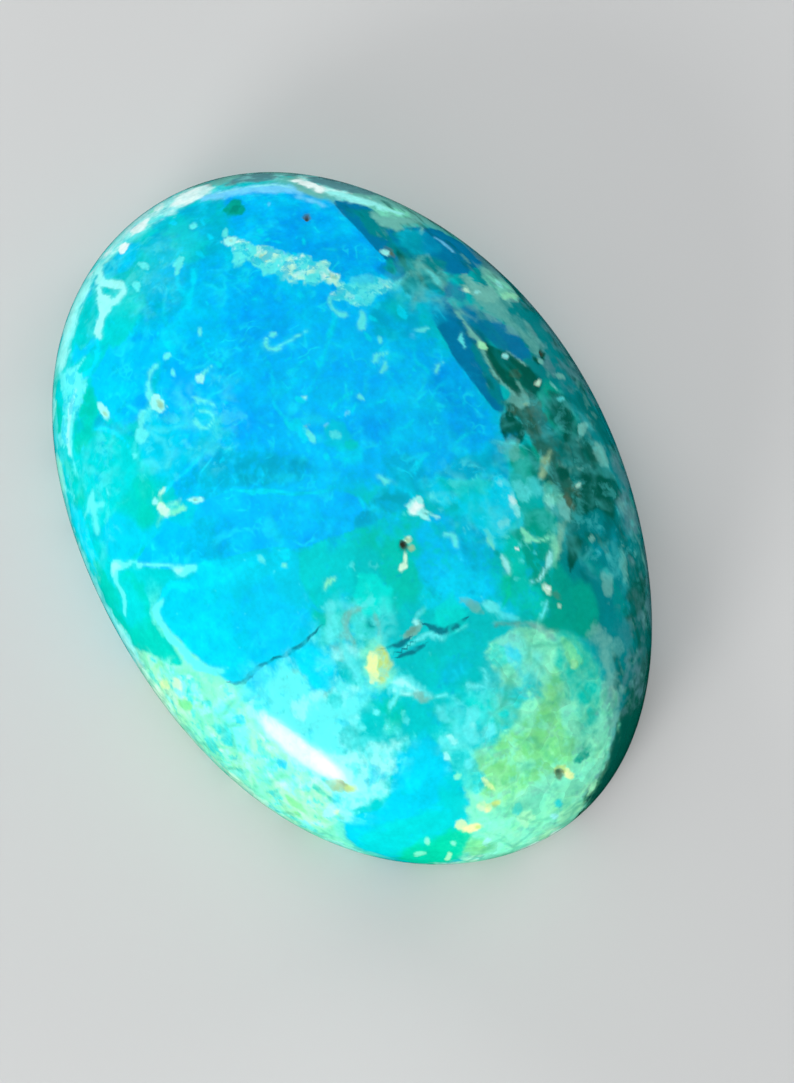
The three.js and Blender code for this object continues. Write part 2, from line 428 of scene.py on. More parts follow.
# A patch is (mineral, softness of its edge, raggedness of its edge, how strong it is, stops).
PATCHES = [
    # the blue wedge above the cream vein, and the main blue field below it
    ("sapphire", 0.25, 0.15, 1, [
        (-13.2, 1.5), (-12.9, 3), (-11.6, 3.9), (-10.2, 4.9), (-8.2, 5.05), (-6.1, 5.2), (-5.4, 4.4),
        (-6, 3.3), (-7.6, 2.7), (-9.2, 1.4), (-10.4, 1), (-11.6, 1.2),
    ]),
    ("azure", 0.3, 0.1, 0.7, [
        (-8.7, 4.1), (-10, 4.6), (-10.9, 4.2), (-10.2, 4.9), (-8.3, 5.05), (-6.6, 5.1), (-7, 4.5),
    ]),
    ("azure", 0.5, 0.3, 0.8, [
        (-12.8, 1.6), (-12.2, 2.4), (-10.8, 2.2), (-9.6, 1.9), (-9.4, 1.3), (-10.6, 0.9), (-12, 1.4),
    ]),
    ("azure", 0.5, 0.3, 1, [
        (-8.8, 0.4), (-7.2, 1.5), (-6, 2.7), (-4.6, 3), (-2.8, 2.9), (-2.6, 4.6), (-1, 5.3), (1.2, 5.3),
        (2.4, 4.6), (2.8, 3.4), (2, 2.2), (1, 1.6), (0.9, 0.2), (0, -1.2), (-1.6, -3), (-2.4, -4.6),
        (-4.4, -4.6), (-6, -4.8), (-7.6, -3.2), (-8.9, -1.6),
    ]),
    ("sapphire", 0.6, 0.3, 0.7, [
        (-7.9, 0.2), (-6.6, 1.3), (-5.4, 1), (-5.6, -0.6), (-5.2, -1.9), (-6.6, -1.6), (-7.8, -0.8),
    ]),
    ("sapphire", 0.5, 0.3, 0.9, [
        (-2.6, 5.1), (0.6, 5.2), (2.2, 4.7), (1.9, 3.7), (0.3, 4.1), (-1.2, 3.9), (-2.2, 4.5),
    ]),
    ("sapphire", 0.4, 0.2, 0.7, [(-1, 2.2), (0.2, 2.1), (0.5, 1), (-0.3, 0.7), (-1.1, 1)]),
    ("sapphire", 0.5, 0.2, 0.5, [
        (-4.6, -1), (-3.2, -0.8), (-2.2, -1.8), (-1.2, -2.8), (-2.6, -3.2), (-3.9, -2.2),
    ]),
    ("azure", 0.3, 0.15, 1, [(-5.9, -3.5), (-5, -3.6), (-4.9, -4.7), (-5.7, -4.8), (-6, -4.2)]),
    # paler skies at the left of the field
    ("sky", 0.5, 0.3, 0.9, [
        (-9, -2), (-7.6, -1.4), (-5.2, -2.2), (-4.6, -3.2), (-6, -3.6), (-7.4, -4.4), (-9, -3.6),
    ]),
    ("cyan", 0.5, 0.4, 0.9, [
        (-4.9, -5), (-4.6, -4), (-3.4, -3.4), (-2.6, -4.4), (-2.5, -6.2), (-3.6, -6.8), (-4.8, -6.4),
    ]),
    ("glint", 0.4, 0.5, 0.5, [
        (-4.9, -4.6), (-4.2, -3.6), (-3.2, -3.6), (-3.2, -4.8), (-3.6, -5.4), (-4.6, -5.2),
    ]),
    ("sky", 0.5, 0.3, 0.8, [(-8.4, 0.4), (-8, -1.2), (-8.9, -2.2), (-9.6, -0.6), (-9.2, 0.3)]),
    ("glint", 0.4, 0.4, 0.6, [(-8.9, -2.5), (-8.2, -2.7), (-7.2, -3.6), (-8, -4), (-8.9, -3.6)]),
    # the turquoise left side
    ("teal", 0.4, 0.3, 0.7, [
        (-13.6, 0.8), (-12, 0.6), (-10.6, 0), (-9.2, 0.2), (-8.8, -1), (-9.6, -1.4), (-10.8, -1.2),
        (-12.4, -1), (-13.6, -0.6),
    ]),
    ("aqua", 0.4, 0.3, 0.7, [
        (-13.4, -0.8), (-12, -0.6), (-10.6, -0.4), (-10.4, -1.4), (-11.6, -1.6), (-13.2, -1.8),
    ]),
    ("azure", 0.35, 0.15, 0.6, [(-9.7, -0.3), (-9, -0.4), (-8.8, -1), (-9.1, -1.5), (-9.8, -1.2)]),
    ("sky", 0.3, 0.3, 0.7, [
        (-13.6, -3), (-12.4, -2.8), (-11.9, -3.6), (-12.2, -4.3), (-12.7, -4.6), (-13.6, -4.2),
    ]),
    ("teal", 0.4, 0.3, 0.6, [(-9.9, -2.4), (-8.8, -2.6), (-8.7, -4), (-9.4, -4.4), (-10, -3.6)]),
    ("aqua", 0.35, 0.3, 1, [
        (-10.8, -3.9), (-9.8, -3.9), (-9, -4.6), (-8.6, -6.2), (-9.8, -5.9), (-10.6, -5.2),
    ]),
    ("sky", 0.25, 0.2, 1, [
        (-8.4, -4.6), (-7, -4.5), (-6, -5.4), (-5.5, -6.2), (-6.2, -7), (-8.2, -7.1), (-8.9, -6),
    ]),
    ("azure", 0.5, 0.2, 0.5, [(-7.9, -5.2), (-6.6, -5.1), (-5.8, -5.7), (-6, -6.4), (-7.2, -6.2)]),
    # the dark wedge and the long blue lens beside it
    ("azure", 0.15, 0.1, 1, [
        (0.9, -1.4), (0.5, -2.4), (-0.2, -3.3), (-0.8, -4.1), (-1.1, -5), (-1.3, -5.9), (-2.3, -6.1),
        (-2.7, -5.2), (-2.2, -3.9), (-1.8, -2.6), (-0.9, -1.2), (0.3, -0.9),
    ]),
    ("teal", 0.45, 0.3, 0.9, [
        (0.3, -1.6), (-0.3, -3), (-0.9, -4.1), (-1.2, -5.4), (-2.1, -5.9), (-2.3, -4.8), (-1.9, -3.6),
        (-1.2, -2),
    ]),
    ("petrol", 0.5, 0.1, 0.3, [
        (0.6, -1.5), (0.2, -2.6), (-0.4, -3.4), (-0.9, -4), (-1.6, -3.6), (-1.2, -2.4), (-0.2, -1.4),
    ]),
    ("ocean", 0.45, 0.1, 0.25, [
        (0, -2.6), (-0.5, -3.4), (-0.95, -4), (-1.5, -4.4), (-1.6, -3.6), (-1, -2.9),
    ]),
    ("azure", 0.08, 0.05, 1, [
        (0.9, -1.6), (0.4, -2.7), (-0.3, -3.5), (-0.9, -4.2), (-1.1, -5.4), (-1.4, -6.4), (-1.2, -7.8),
        (-0.9, -9), (-0.2, -8.3), (0.6, -7.3), (1, -6.2), (1.6, -4.6), (2.2, -3.4), (2.5, -2.4),
        (2.7, -1.2), (2.2, -0.5), (1.4, -0.9),
    ]),
    ("sky", 0.6, 0.3, 0.8, [(-1.3, -6), (0.2, -5.6), (1, -6.2), (-0.2, -8.2), (-1, -8.8)]),
    ("sapphire", 0.4, 0.15, 0.5, [(1.6, -1.2), (2.4, -1.1), (2.4, -2.4), (1.9, -3.4), (1.4, -2.6)]),
    ("cyan", 0.3, 0.2, 0.9, [
        (-1.3, -7.4), (-0.9, -9), (-1.6, -9.9), (-3, -9.8), (-3.2, -8.8), (-2.2, -8),
    ]),
    # a pale claw at the wedge's foot
    ("mint", 0.15, 0.25, 0.75, [
        (-2.6, -6.9), (-2.5, -6.45), (-2.2, -6.7), (-1.8, -6.6), (-1.5, -6.2), (-1.35, -6.45),
        (-1.55, -6.85), (-1.5, -7.5), (-1.75, -7.25), (-2.2, -7.15),
    ]),
    # the bright cyan block right of the lens
    ("cyan", 0.1, 0.06, 1, [
        (1.7, -4.1), (2.3, -3.6), (3.8, -3.5), (4.6, -4.1), (5.15, -4.4), (5.3, -5.6), (5.2, -7.8),
        (4.4, -8.3), (3, -8.9), (1.2, -9.2), (0.7, -8.3), (1, -7.2), (1.1, -5.8),
    ]),
    ("glint", 0.35, 0.4, 0.6, [
        (1.7, -4.3), (2.2, -4), (2.2, -5.2), (1.9, -6.4), (1.4, -7.4), (1, -7.6), (1.2, -5.8),
    ]),
    ("glint", 0.4, 0.4, 0.5, [(2.4, -7), (4, -6.8), (5, -7.4), (4.2, -8.4), (2.4, -8.6)]),
    ("sky", 0.4, 0.3, 0.7, [(2.9, -5), (4.4, -4.4), (5.1, -5.6), (4.9, -6.6), (3.2, -6.7)]),
    # the green domain in the middle and the dark crescent at its left
    ("lagoon", 0.08, 0.06, 1, [
        (2.9, 1), (3.5, 0.9), (4.6, 0.5), (5.8, 0.1), (6.6, -0.6), (6.6, -1.6), (6, -2.3), (4.8, -2.6),
        (4.4, -3.6), (3.4, -3.8), (2.5, -3.4), (2.5, -2.2), (2.75, -1),
    ]),
    ("sea", 0.45, 0.3, 0.9, [(3.1, 0.4), (4.8, 0), (6.2, -0.9), (5.6, -1.9), (4.2, -1.2), (3, -1)]),
    ("aqua", 0.12, 0.12, 0.9, [
        (2.7, -1.5), (3.2, -1.4), (3.9, -2), (4.6, -2.4), (5, -3.2), (4.4, -3.9), (3.4, -3.9),
        (2.5, -3.5), (2.45, -2.3),
    ]),
    ("teal", 0.1, 0.06, 0.8, [
        (2.1, 0.8), (2.9, 1.15), (2.85, 0.1), (2.75, -1), (2.4, -1.2), (2.15, -0.4), (1.9, 0.2),
    ]),
    ("ocean", 0.3, 0.2, 0.4, [(2.2, 0.9), (2.8, 1), (2.75, -0.6), (2.4, -0.8), (2.1, 0)]),
    ("teal", 0.25, 0.2, 0.7, [(1.1, 1.9), (2.1, 1.9), (2.5, 1.4), (2, 0.9), (1.4, 0.6), (0.9, 1.2)]),
    # the clear blue right of the white blob
    ("sky", 0.35, 0.25, 1, [
        (3.4, 1.2), (4, 2.4), (5.2, 2.8), (6.4, 2.4), (7.2, 1.6), (6.6, 0.4), (5.6, 0.2), (4.4, 0.6),
    ]),
    ("teal", 0.3, 0.25, 0.7, [(3.8, 2.5), (5, 2.7), (6, 2.5), (5.9, 1.9), (5, 1.8), (4.2, 2)]),
    ("glint", 0.4, 0.4, 0.7, [(5.4, 1.3), (6.8, 1.7), (6.9, 0.2), (6.3, -0.6), (5.9, 0.4)]),
    ("glint", 0.3, 0.4, 0.7, [(2.1, 2.3), (3, 3), (4, 2.7), (3.6, 2), (2.8, 2)]),
    # upper middle, under the pale plume
    ("teal", 0.25, 0.2, 1, [
        (-4.9, 4.9), (-3.8, 5.1), (-3.1, 4.6), (-3, 3.8), (-3.6, 3.2), (-4.6, 3.2), (-4.9, 3.9),
    ]),
    ("lagoon", 0.3, 0.3, 0.6, [(-4.9, 4.9), (-4.2, 5), (-3.6, 4.2), (-4.2, 3.4), (-4.7, 3.8)]),
    ("teal", 0.2, 0.15, 1, [
        (2.1, 4.9), (3.1, 4.9), (3.9, 4.4), (3.6, 3.6), (2.9, 3.1), (2.4, 2.4), (2.1, 3.2), (2.3, 4.1),
    ]),
    ("ocean", 0.35, 0.3, 0.4, [(2.2, 4.8), (3.2, 4.8), (3.4, 3.9), (2.6, 3.3), (2.3, 4)]),
    ("aqua", 0.12, 0.15, 1, [
        (2.4, 2.2), (3, 3.1), (3.4, 4), (4.4, 4.4), (5.4, 4.3), (5.3, 3.2), (4.6, 2.7), (3.6, 2.6),
        (3, 2.1),
    ]),
    ("glint", 0.2, 0.35, 0.8, [
        (3.4, 4.4), (4, 4.6), (4.6, 4.6), (5.3, 4.35), (5.3, 3.9), (5.15, 3.2), (4.8, 2.95), (4.6, 3.5),
        (4.1, 3.3), (3.6, 3.8),
    ]),
    ("jade", 0.15, 0.15, 0.55, [
        (5.4, 4), (6.2, 4.8), (7.2, 4.7), (8, 5.1), (9.6, 5), (10, 4.2), (9.6, 3.5), (8.9, 3), (8, 2.6),
        (6.8, 2.9), (5.4, 3),
    ]),
    ("sea", 0.35, 0.3, 1, [
        (5.5, 3.9), (6.4, 3.3), (7.3, 3.6), (8.3, 3.5), (8.6, 3), (7.9, 2.4), (6.6, 3), (5.6, 3),
    ]),
    ("emerald", 0.2, 0.15, 0.55, [(5.9, 2.7), (6.6, 2.75), (7.5, 2.4), (7.9, 2), (7.2, 2), (6.3, 2.3)]),
    # the dark belt along the top: the stone's own dark minerals, partly painted shade
    # painted shadow edge: the crisp lower edge of this patch follows a shade line
    ("petrol", 0.05, 0.03, 1, [
        (-10.4, 5), (-8.4, 5.05), (-6.2, 5.25), (-5.6, 5.6), (-5.8, 6.4), (-7.4, 6.3), (-9.4, 6.4),
        (-10.2, 5.8),
    ]),
    ("ocean", 0.2, 0.3, 0.8, [
        (-9.9, 5.3), (-8.4, 5.3), (-7.4, 5.5), (-6.4, 5.9), (-7.6, 6.4), (-9.4, 6.4),
    ]),
    ("petrol", 0.15, 0.2, 1, [
        (-8.1, 6.2), (-8, 8.3), (-7.5, 9.4), (-6.8, 9.9), (-5.8, 9.6), (-5.2, 8.6), (-5.1, 7.2),
        (-5.9, 6.4), (-6.9, 6.1),
    ]),
    ("ocean", 0.3, 0.3, 0.8, [
        (-8, 6.4), (-7.8, 7.6), (-6.6, 7.2), (-5.6, 7.6), (-5.2, 6.8), (-6.4, 6.2),
    ]),
    ("ocean", 0.2, 0.3, 0.9, [
        (-5.9, 5.3), (-4.4, 5.2), (-3.8, 6.2), (-4.6, 7.2), (-5.8, 7), (-6.2, 6.2),
    ]),
    ("petrol", 0.4, 0.3, 0.85, [
        (-4.2, 5.9), (-3.2, 5.6), (-2.2, 5.5), (-1.4, 6.2), (-1.6, 6.9), (-2.4, 7.5), (-3.4, 7.3),
        (-3.9, 6.6),
    ]),
    # painted shadow edge: this patch's crisp lower edge near v 5.3 follows the shade line
    ("petrol", 0.06, 0.05, 1, [
        (-4.3, 6), (-3.9, 5.65), (-3.2, 5.42), (-2.6, 5.34), (-1.4, 5.28), (-0.4, 5.36), (0.4, 5.46),
        (1, 5.55), (1.25, 5.8), (0.9, 6.1), (0.2, 6.3), (-0.8, 6.4), (-2, 6.45), (-3.2, 6.5), (-4, 6.4),
    ]),
    ("teal", 0.5, 0.2, 0.6, [(-4.8, 5.6), (-3.8, 5.2), (-2.9, 5.3), (-3.1, 6), (-3.8, 6.5), (-4.6, 6.4)]),
    ("ocean", 0.15, 0.2, 0.7, [(-1.6, 6.4), (0.4, 6.3), (1.2, 5.9), (0.6, 5.8), (-1.4, 6.1)]),
    ("petrol", 0.12, 0.2, 1, [
        (-2.8, 7.2), (-2.6, 7.9), (-2, 8.3), (-1.2, 8.6), (-0.5, 8.4), (-0.5, 7.6), (-1.2, 7.1),
        (-2, 6.8),
    ]),
    ("bottle", 0.12, 0.15, 1, [
        (-1.6, 6.8), (-0.6, 7.8), (0.4, 8.2), (1.4, 8), (1.4, 6.9), (0.5, 6.6), (-0.8, 6.4),
    ]),
    ("sage", 0.3, 0.5, 0.6, [
        (-3.6, 9), (-2.8, 9), (-2.2, 9.4), (-1.2, 9.6), (-0.4, 9.2), (0.2, 8.8), (-0.8, 8.6), (-1.8, 8.4),
        (-2.6, 7.9), (-3.4, 7.3), (-4, 8.2),
    ]),
    ("sage", 0.15, 0.3, 1, [
        (-5.4, 9.4), (-4.9, 10), (-4.2, 10.4), (-3.5, 10.1), (-3.4, 9.3), (-3.9, 8.9), (-4.5, 9),
        (-5, 9.1),
    ]),
    ("mint", 0.3, 0.5, 0.6, [(-5, 9.5), (-4.4, 10), (-3.8, 9.8), (-3.9, 9.2), (-4.6, 9.2)]),
    ("sage", 0.15, 0.4, 0.9, [
        (-4.8, 7.9), (-4.2, 8.6), (-3.6, 8.4), (-3.6, 7.7), (-4.1, 7.1), (-4.6, 7.4),
    ]),
    ("ocean", 0.4, 0.3, 0.8, [(0.2, 10), (1.6, 9.3), (3.2, 9.6), (3.2, 11.2), (1.2, 11.8), (-0.4, 11.4)]),
    ("jade", 0.3, 0.4, 0.9, [(0.9, 8.5), (2.2, 8.9), (2.9, 8.2), (2.4, 7.5), (1.2, 7.7)]),
    ("bottle", 0.3, 0.3, 0.7, [(1.3, 8.4), (1.9, 8.6), (2.6, 8.2), (2.2, 7.8), (1.5, 7.9)]),
    ("smoke", 0.25, 0.4, 1, [
        (1, 7.3), (2.4, 7.4), (3.8, 7.2), (4.6, 6.4), (4.2, 5.9), (2.6, 6.3), (1.3, 6.1), (0.7, 6.5),
    ]),
    ("umber", 0.3, 0.3, 0.55, [(1.2, 7.2), (2.4, 7.2), (2.7, 6.6), (2, 6.2), (1.2, 6.3)]),
    ("bottle", 0.08, 0.12, 1, [(1.4, 6.1), (2.1, 6.3), (2.6, 5.9), (2.4, 5.35), (1.8, 5.3), (1.35, 5.6)]),
    ("jade", 0.12, 0.2, 1, [(2.7, 6.1), (3.4, 6.2), (4, 5.7), (3.9, 5.2), (3.3, 5), (2.7, 5.4)]),
    ("sage", 0.2, 0.4, 0.5, [(2.4, 5.7), (2.8, 5.7), (3, 5.2), (2.6, 4.9), (2.3, 5.2)]),
    ("sage", 0.3, 0.5, 0.7, [(3.4, 8.6), (3.6, 9.6), (4.6, 9.9), (5, 9), (4.5, 8.4)]),
    ("sage", 0.3, 0.5, 0.6, [(3.4, 9.8), (4.2, 11.4), (5.2, 11.2), (4.8, 9.8)]),
    ("sage", 0.4, 0.5, 0.5, [(5.6, 9.6), (6.4, 10.8), (7.6, 10), (7.4, 8.8), (6.4, 8.8)]),
    ("bottle", 0.2, 0.2, 1, [
        (4.5, 8.6), (4.9, 9.4), (5.6, 9.6), (6.2, 9), (6.4, 8), (6.2, 7), (5.6, 6.8), (5, 7.3),
        (4.5, 7.7),
    ]),
    ("smoke", 0.2, 0.3, 1, [(4.6, 7.2), (5.4, 7.2), (5.9, 6.5), (5.8, 6), (4.8, 6.1), (4.3, 6.6)]),
    ("umber", 0.15, 0.2, 0.7, [(4.85, 7.3), (5.3, 7.1), (5.8, 6.5), (5.4, 6.2), (4.9, 6.6)]),
    ("bottle", 0.1, 0.15, 1, [
        (5.9, 6.9), (6.4, 6.8), (7, 6.1), (7.6, 5.4), (7.9, 4.9), (7.2, 5.2), (6.1, 6),
    ]),
    ("ocean", 0.35, 0.4, 0.9, [
        (6.2, 8.4), (7.4, 8.4), (8.8, 7), (8.7, 5.8), (8, 5.4), (7, 6.2), (6.4, 7),
    ]),
    ("teal", 0.5, 0.4, 0.3, [(6.4, 8.2), (7.2, 8.4), (8, 7.6), (7.4, 6.6), (6.8, 6.8)]),
    ("jade", 0.1, 0.12, 1, [(5.2, 5.3), (5.7, 5.5), (6, 5), (5.8, 4.4), (5.4, 4.2), (5.1, 4.6)]),
    ("jade", 0.3, 0.3, 1, [(8, 5.2), (9.4, 5.6), (10, 5), (9.9, 4.4), (8.6, 4.4)]),
    ("ocean", 0.3, 0.4, 1, [(8.4, 7.2), (10.2, 7), (10.8, 5.9), (10.2, 5.4), (9, 5.8)]),
    # right of the middle crack: a turquoise lens, the wedge, the green under it
    ("lagoon", 0.08, 0.08, 1, [
        (7.6, 1.4), (8.4, 1.4), (8.9, 0.7), (9.2, 0), (9.4, -0.6), (9.1, -1.2), (8.8, -1.9), (8, -2.2),
        (7.6, -1.7), (7.55, -0.6), (7.6, 0.6),
    ]),
    ("teal", 0.4, 0.3, 0.5, [(8.2, 0.6), (8.9, 0.3), (9.3, -0.6), (8.9, -1.4), (8.2, -0.8)]),
    ("lagoon", 0.12, 0.15, 1, [
        (8.3, -3), (9, -2.2), (9.4, -1.4), (10, -1.9), (10.4, -2.6), (10.1, -3.3), (9.7, -4.2), (9, -4.3),
        (8.3, -4),
    ]),
    ("sea", 0.3, 0.2, 1, [(8.4, -2.9), (9.4, -2.9), (9.8, -3.8), (9, -4.4), (8.4, -4)]),
    ("aqua", 0.25, 0.2, 0.8, [(8.5, -4.4), (9.3, -4.4), (9.4, -5), (9.2, -5.6), (8.6, -5.4)]),
    ("ice", 0.5, 0.5, 0.6, [
        (9.3, 1), (10.4, 0.9), (11.8, -0.4), (12.3, -2.1), (10.9, -2.3), (10, -1.6), (9.6, -0.4),
    ]),
    ("ice", 0.5, 0.5, 0.5, [
        (4.7, -2.2), (6.6, -2), (7.8, -2.6), (8.3, -3.4), (8.4, -4.3), (7, -4.6), (5.4, -4.2),
    ]),
    # the lower middle, milky, where the haze round the highlight is partly painted reflection
    ("ice", 0.45, 0.4, 0.9, [
        (5.7, -6.3), (6.8, -4.9), (8, -4.4), (9.2, -5.2), (9.6, -6.3), (8.6, -7), (7, -7.5), (5.8, -7.8),
    ]),
    ("milk", 0.3, 0.35, 0.65, [
        (9.2, -6.4), (9.6, -5), (10.2, -3.4), (10.6, -3.9), (11, -4.5), (11.7, -5.3), (11.6, -6.4),
        (11.9, -7.4), (10.8, -6.8),
    ]),
    ("cyan", 0.25, 0.3, 0.9, [
        (5.4, -4.4), (6.2, -4.4), (7, -4.2), (7.2, -4.9), (6.2, -5.7), (5.4, -5.6),
    ]),
    ("sky", 0.25, 0.2, 0.8, [(5.35, -6.3), (5.8, -6.4), (5.9, -7.2), (5.45, -7.6)]),
    # the bright cyan block by the heel, with green beside it
    ("cyan", 0.12, 0.12, 1, [
        (10.4, -3.3), (10.6, -2.6), (11.3, -2.45), (12.4, -2.45), (13.6, -2.4), (14.2, -2.9), (14.5, -4),
        (15.2, -5), (15.4, -6.6), (14.4, -7.4), (13.3, -7.7), (12.4, -7.4), (12.1, -6.4), (12.2, -5.6),
        (11.7, -4.9), (11, -4.5), (10.7, -4),
    ]),
    ("glint", 0.4, 0.3, 0.6, [(10.6, -3.2), (11.4, -2.6), (12.2, -3.2), (12, -4.6), (11.2, -4.2)]),
    ("aqua", 0.45, 0.3, 0.9, [
        (12.4, -2.5), (14, -2.5), (14.6, -3.6), (14.8, -5.2), (13.8, -5.2), (12.9, -3.8),
    ]),
    ("aqua", 0.4, 0.3, 0.9, [(13.6, -4.4), (15, -5), (15.8, -6.4), (15, -7.4), (13.2, -7.6), (13, -6.2)]),
    ("emerald", 0.3, 0.25, 0.8, [
        (14.9, -3.1), (15.9, -3.2), (16.5, -4.1), (17.2, -5.2), (16.5, -6.3), (15.6, -6.9), (14.9, -6.2),
        (14.5, -5.2), (14.5, -4),
    ]),
    # the pale green matrix at the right end
    ("mint", 0.2, 0.25, 1, [
        (8.6, 1), (8.7, 2.4), (9.6, 3.2), (10.8, 4.2), (12.6, 4.2), (14.4, 3.9), (16.2, 3), (18.4, 1.8),
        (18.8, -1), (18, -4), (16.6, -3.6), (15.2, -2.8), (14.2, -2.6), (12.4, -2), (11.6, -0.6),
        (10.8, 0.4), (9.6, 0.6),
    ]),
    ("lime", 0.45, 0.4, 0.9, [
        (10.6, 3.2), (11.6, 2.4), (13.4, 2), (14.2, 1), (14.4, -0.4), (13.8, -1.6), (12.4, -1.8),
        (11.9, -0.4), (11.6, 1.4),
    ]),
    ("sea", 0.4, 0.4, 0.7, [(10.8, 3.3), (11.4, 4.2), (12.8, 3.9), (13.4, 3.2), (12, 2.7), (11, 2.9)]),
    ("mint", 0.3, 0.3, 0.8, [(8.8, 1.7), (8.9, 2.5), (9.5, 3), (10.1, 2.9), (10.3, 2.2), (9.6, 1.7)]),
    ("glint", 0.1, 0.15, 1, [
        (8.85, 1.5), (9.3, 1.68), (9.95, 1.6), (10.05, 1.35), (9.5, 1.18), (9, 1.25),
    ]),
    ("aqua", 0.4, 0.4, 0.8, [
        (10.2, 1.8), (11, 1.6), (11.4, 0.4), (11.6, -1.2), (10.8, -1.6), (10, -0.4), (9.8, 0.8),
    ]),
    # painted reflection: this pale grey-green line along the top right stands for the sky reflected on
    # the wall
    ("sage", 0.4, 0.5, 0.65, [
        (10.2, 5.2), (12.2, 5.2), (14, 4.6), (15.2, 3.9), (17, 2.2), (16.2, 2.6), (14.6, 3.5),
        (12.6, 4.2), (10.8, 4.6),
    ]),
    # painted shade: this dark bottle green crescent stands for the shaded right wall
    ("bottle", 0.3, 0.25, 1, [
        (12.9, 7.8), (13.4, 5.5), (14.9, 4.1), (16, 3.1), (16.7, 2.2), (17.6, 1.9), (18.9, 1.6),
        (19, 3.4), (17.4, 6.4), (15, 9),
    ]),
    # the pale green matrix along the lower edge
    ("mint", 0.2, 0.25, 1, LOWER_MATRIX),
    ("pistachio", 0.45, 0.5, 0.8, [(2.8, -10.6), (4.2, -9.8), (5.4, -10.4), (5.2, -11.8), (3.6, -12)]),
    ("pistachio", 0.45, 0.5, 0.8, [(9.8, -8), (11.6, -7.4), (12.6, -8.4), (11.4, -9.6), (10, -9.4)]),
    ("sea", 0.15, 0.2, 1, [
        (-1, -9.4), (0.8, -9.4), (1.2, -9.6), (3.3, -9.5), (3.2, -10), (2, -10.9), (1.6, -11.4),
        (0.2, -11.8), (-2, -11.7), (-2.6, -11), (-1, -10.6),
    ]),
    ("aqua", 0.4, 0.3, 0.9, [(-1, -9.5), (0.6, -9.4), (1.2, -10.2), (0.6, -11.2), (-0.8, -10.8)]),
    ("ice", 0.4, 0.5, 0.8, [
        (-6, -12.6), (-4, -11.8), (-1, -12.1), (1.4, -11.7), (1.9, -13.4), (-3, -13.6),
    ]),
    # the lower left: green, pale net and turquoise cells
    ("sea", 0.4, 0.3, 0.55, [
        (-3.6, -7), (-2.6, -6.6), (-1.6, -7.3), (-1.6, -8.3), (-2.8, -8.6), (-3.4, -9),
    ]),
    ("sea", 0.2, 0.2, 1, [
        (-8.2, -7.3), (-6.9, -7.4), (-6.3, -8), (-6.6, -9.1), (-7.5, -9), (-8.1, -8.2),
    ]),
    ("jade", 0.3, 0.2, 0.4, [(-8.2, -7.3), (-7.3, -7.5), (-7, -8.4), (-7.4, -9), (-8.1, -8.2)]),
    ("teal", 0.25, 0.15, 0.7, [(-6.9, -7.5), (-6, -7.1), (-5.1, -6.6), (-5.9, -7.3), (-6.6, -7.9)]),
    ("sea", 0.35, 0.3, 0.8, [(-6.4, -9.5), (-4.8, -9.6), (-4.6, -10.3), (-5.8, -10.6), (-7.2, -10.2)]),
    ("ice", 0.15, 0.35, 0.9, PALE_SPOTS),
    ("sea", 0.15, 0.15, 1, [(-10, -9.3), (-9, -9.1), (-8.4, -9.6), (-8.9, -10.1), (-9.8, -9.9)]),
    ("sky", 0.25, 0.2, 0.9, [(-10.8, -6.4), (-10, -6.4), (-9.8, -7.2), (-10.3, -7.7), (-10.9, -7.2)]),
    ("mint", 0.35, 0.5, 0.9, [(-8.6, -11), (-7.4, -10.4), (-6.6, -11), (-7.2, -11.9), (-8.4, -11.6)]),
    # the pale left rim, partly the stone's own milky white and partly painted reflection
    ("ice", 0.35, 0.4, 1, [
        (-13.8, 1.4), (-14, 0), (-14.1, -1.6), (-13.8, -3.2), (-13.7, -4.6), (-12.9, -5.4), (-12.2, -6.4),
        (-11.4, -7.2), (-10.4, -8), (-11, -9.4), (-13, -8), (-15, -5.4), (-16.2, -2), (-16, 1),
        (-14.6, 1.8),
    ]),
    ("white", 0.4, 0.5, 0.5, [
        (-14.2, 0.6), (-14, -0.2), (-14.3, -1.8), (-14.3, -3.4), (-13.7, -5), (-12.7, -6), (-11.6, -7.6),
        (-12.8, -7.6), (-14.2, -5.6), (-15.4, -3.2), (-16, 0), (-15.2, 1),
    ]),
    ("sage", 0.5, 0.6, 1, [
        (-16.6, -1), (-16.4, 3), (-14.6, 6), (-13.2, 5.2), (-14, 3.4), (-14.2, 1.8), (-15.4, 1.2),
    ]),
    # painted shade: this slate band darkens the upper left rim where shade falls
    ("slate", 0.5, 0.6, 0.75, [
        (-15.4, 1.4), (-15, 3.4), (-13.8, 5.6), (-12.2, 7.2), (-10.6, 8.2), (-10.4, 7.2), (-11.4, 5.9),
        (-12.9, 4.7), (-13.8, 2.8), (-14.3, 1.5),
    ]),
    ("sage", 0.25, 0.3, 1, [
        (-9.5, 6.3), (-8.4, 6.1), (-7.9, 6.7), (-8.2, 7.7), (-8.8, 8.1), (-9.5, 7.6),
    ]),
    ("mint", 0.3, 0.4, 0.8, [(-10.4, 6), (-9.4, 6.4), (-8.7, 7.2), (-9.2, 8), (-10, 7.4)]),
    ("sage", 0.4, 0.5, 0.8, [
        (-12, 5.6), (-11.2, 5.2), (-10.4, 6), (-9.6, 7.4), (-10.4, 8.2), (-11.6, 7),
    ]),
    ("lagoon", 0.12, 0.15, 1, [
        (-12.7, -5.6), (-12.2, -5.45), (-11.3, -5.6), (-10.6, -6), (-10.2, -6.4), (-10.3, -7),
        (-11.3, -7), (-12.1, -6.4),
    ]),
]
for mineral, soft, rough, strength, stops in PATCHES:
    lay(mineral, patch(stops, soft, rough), strength)

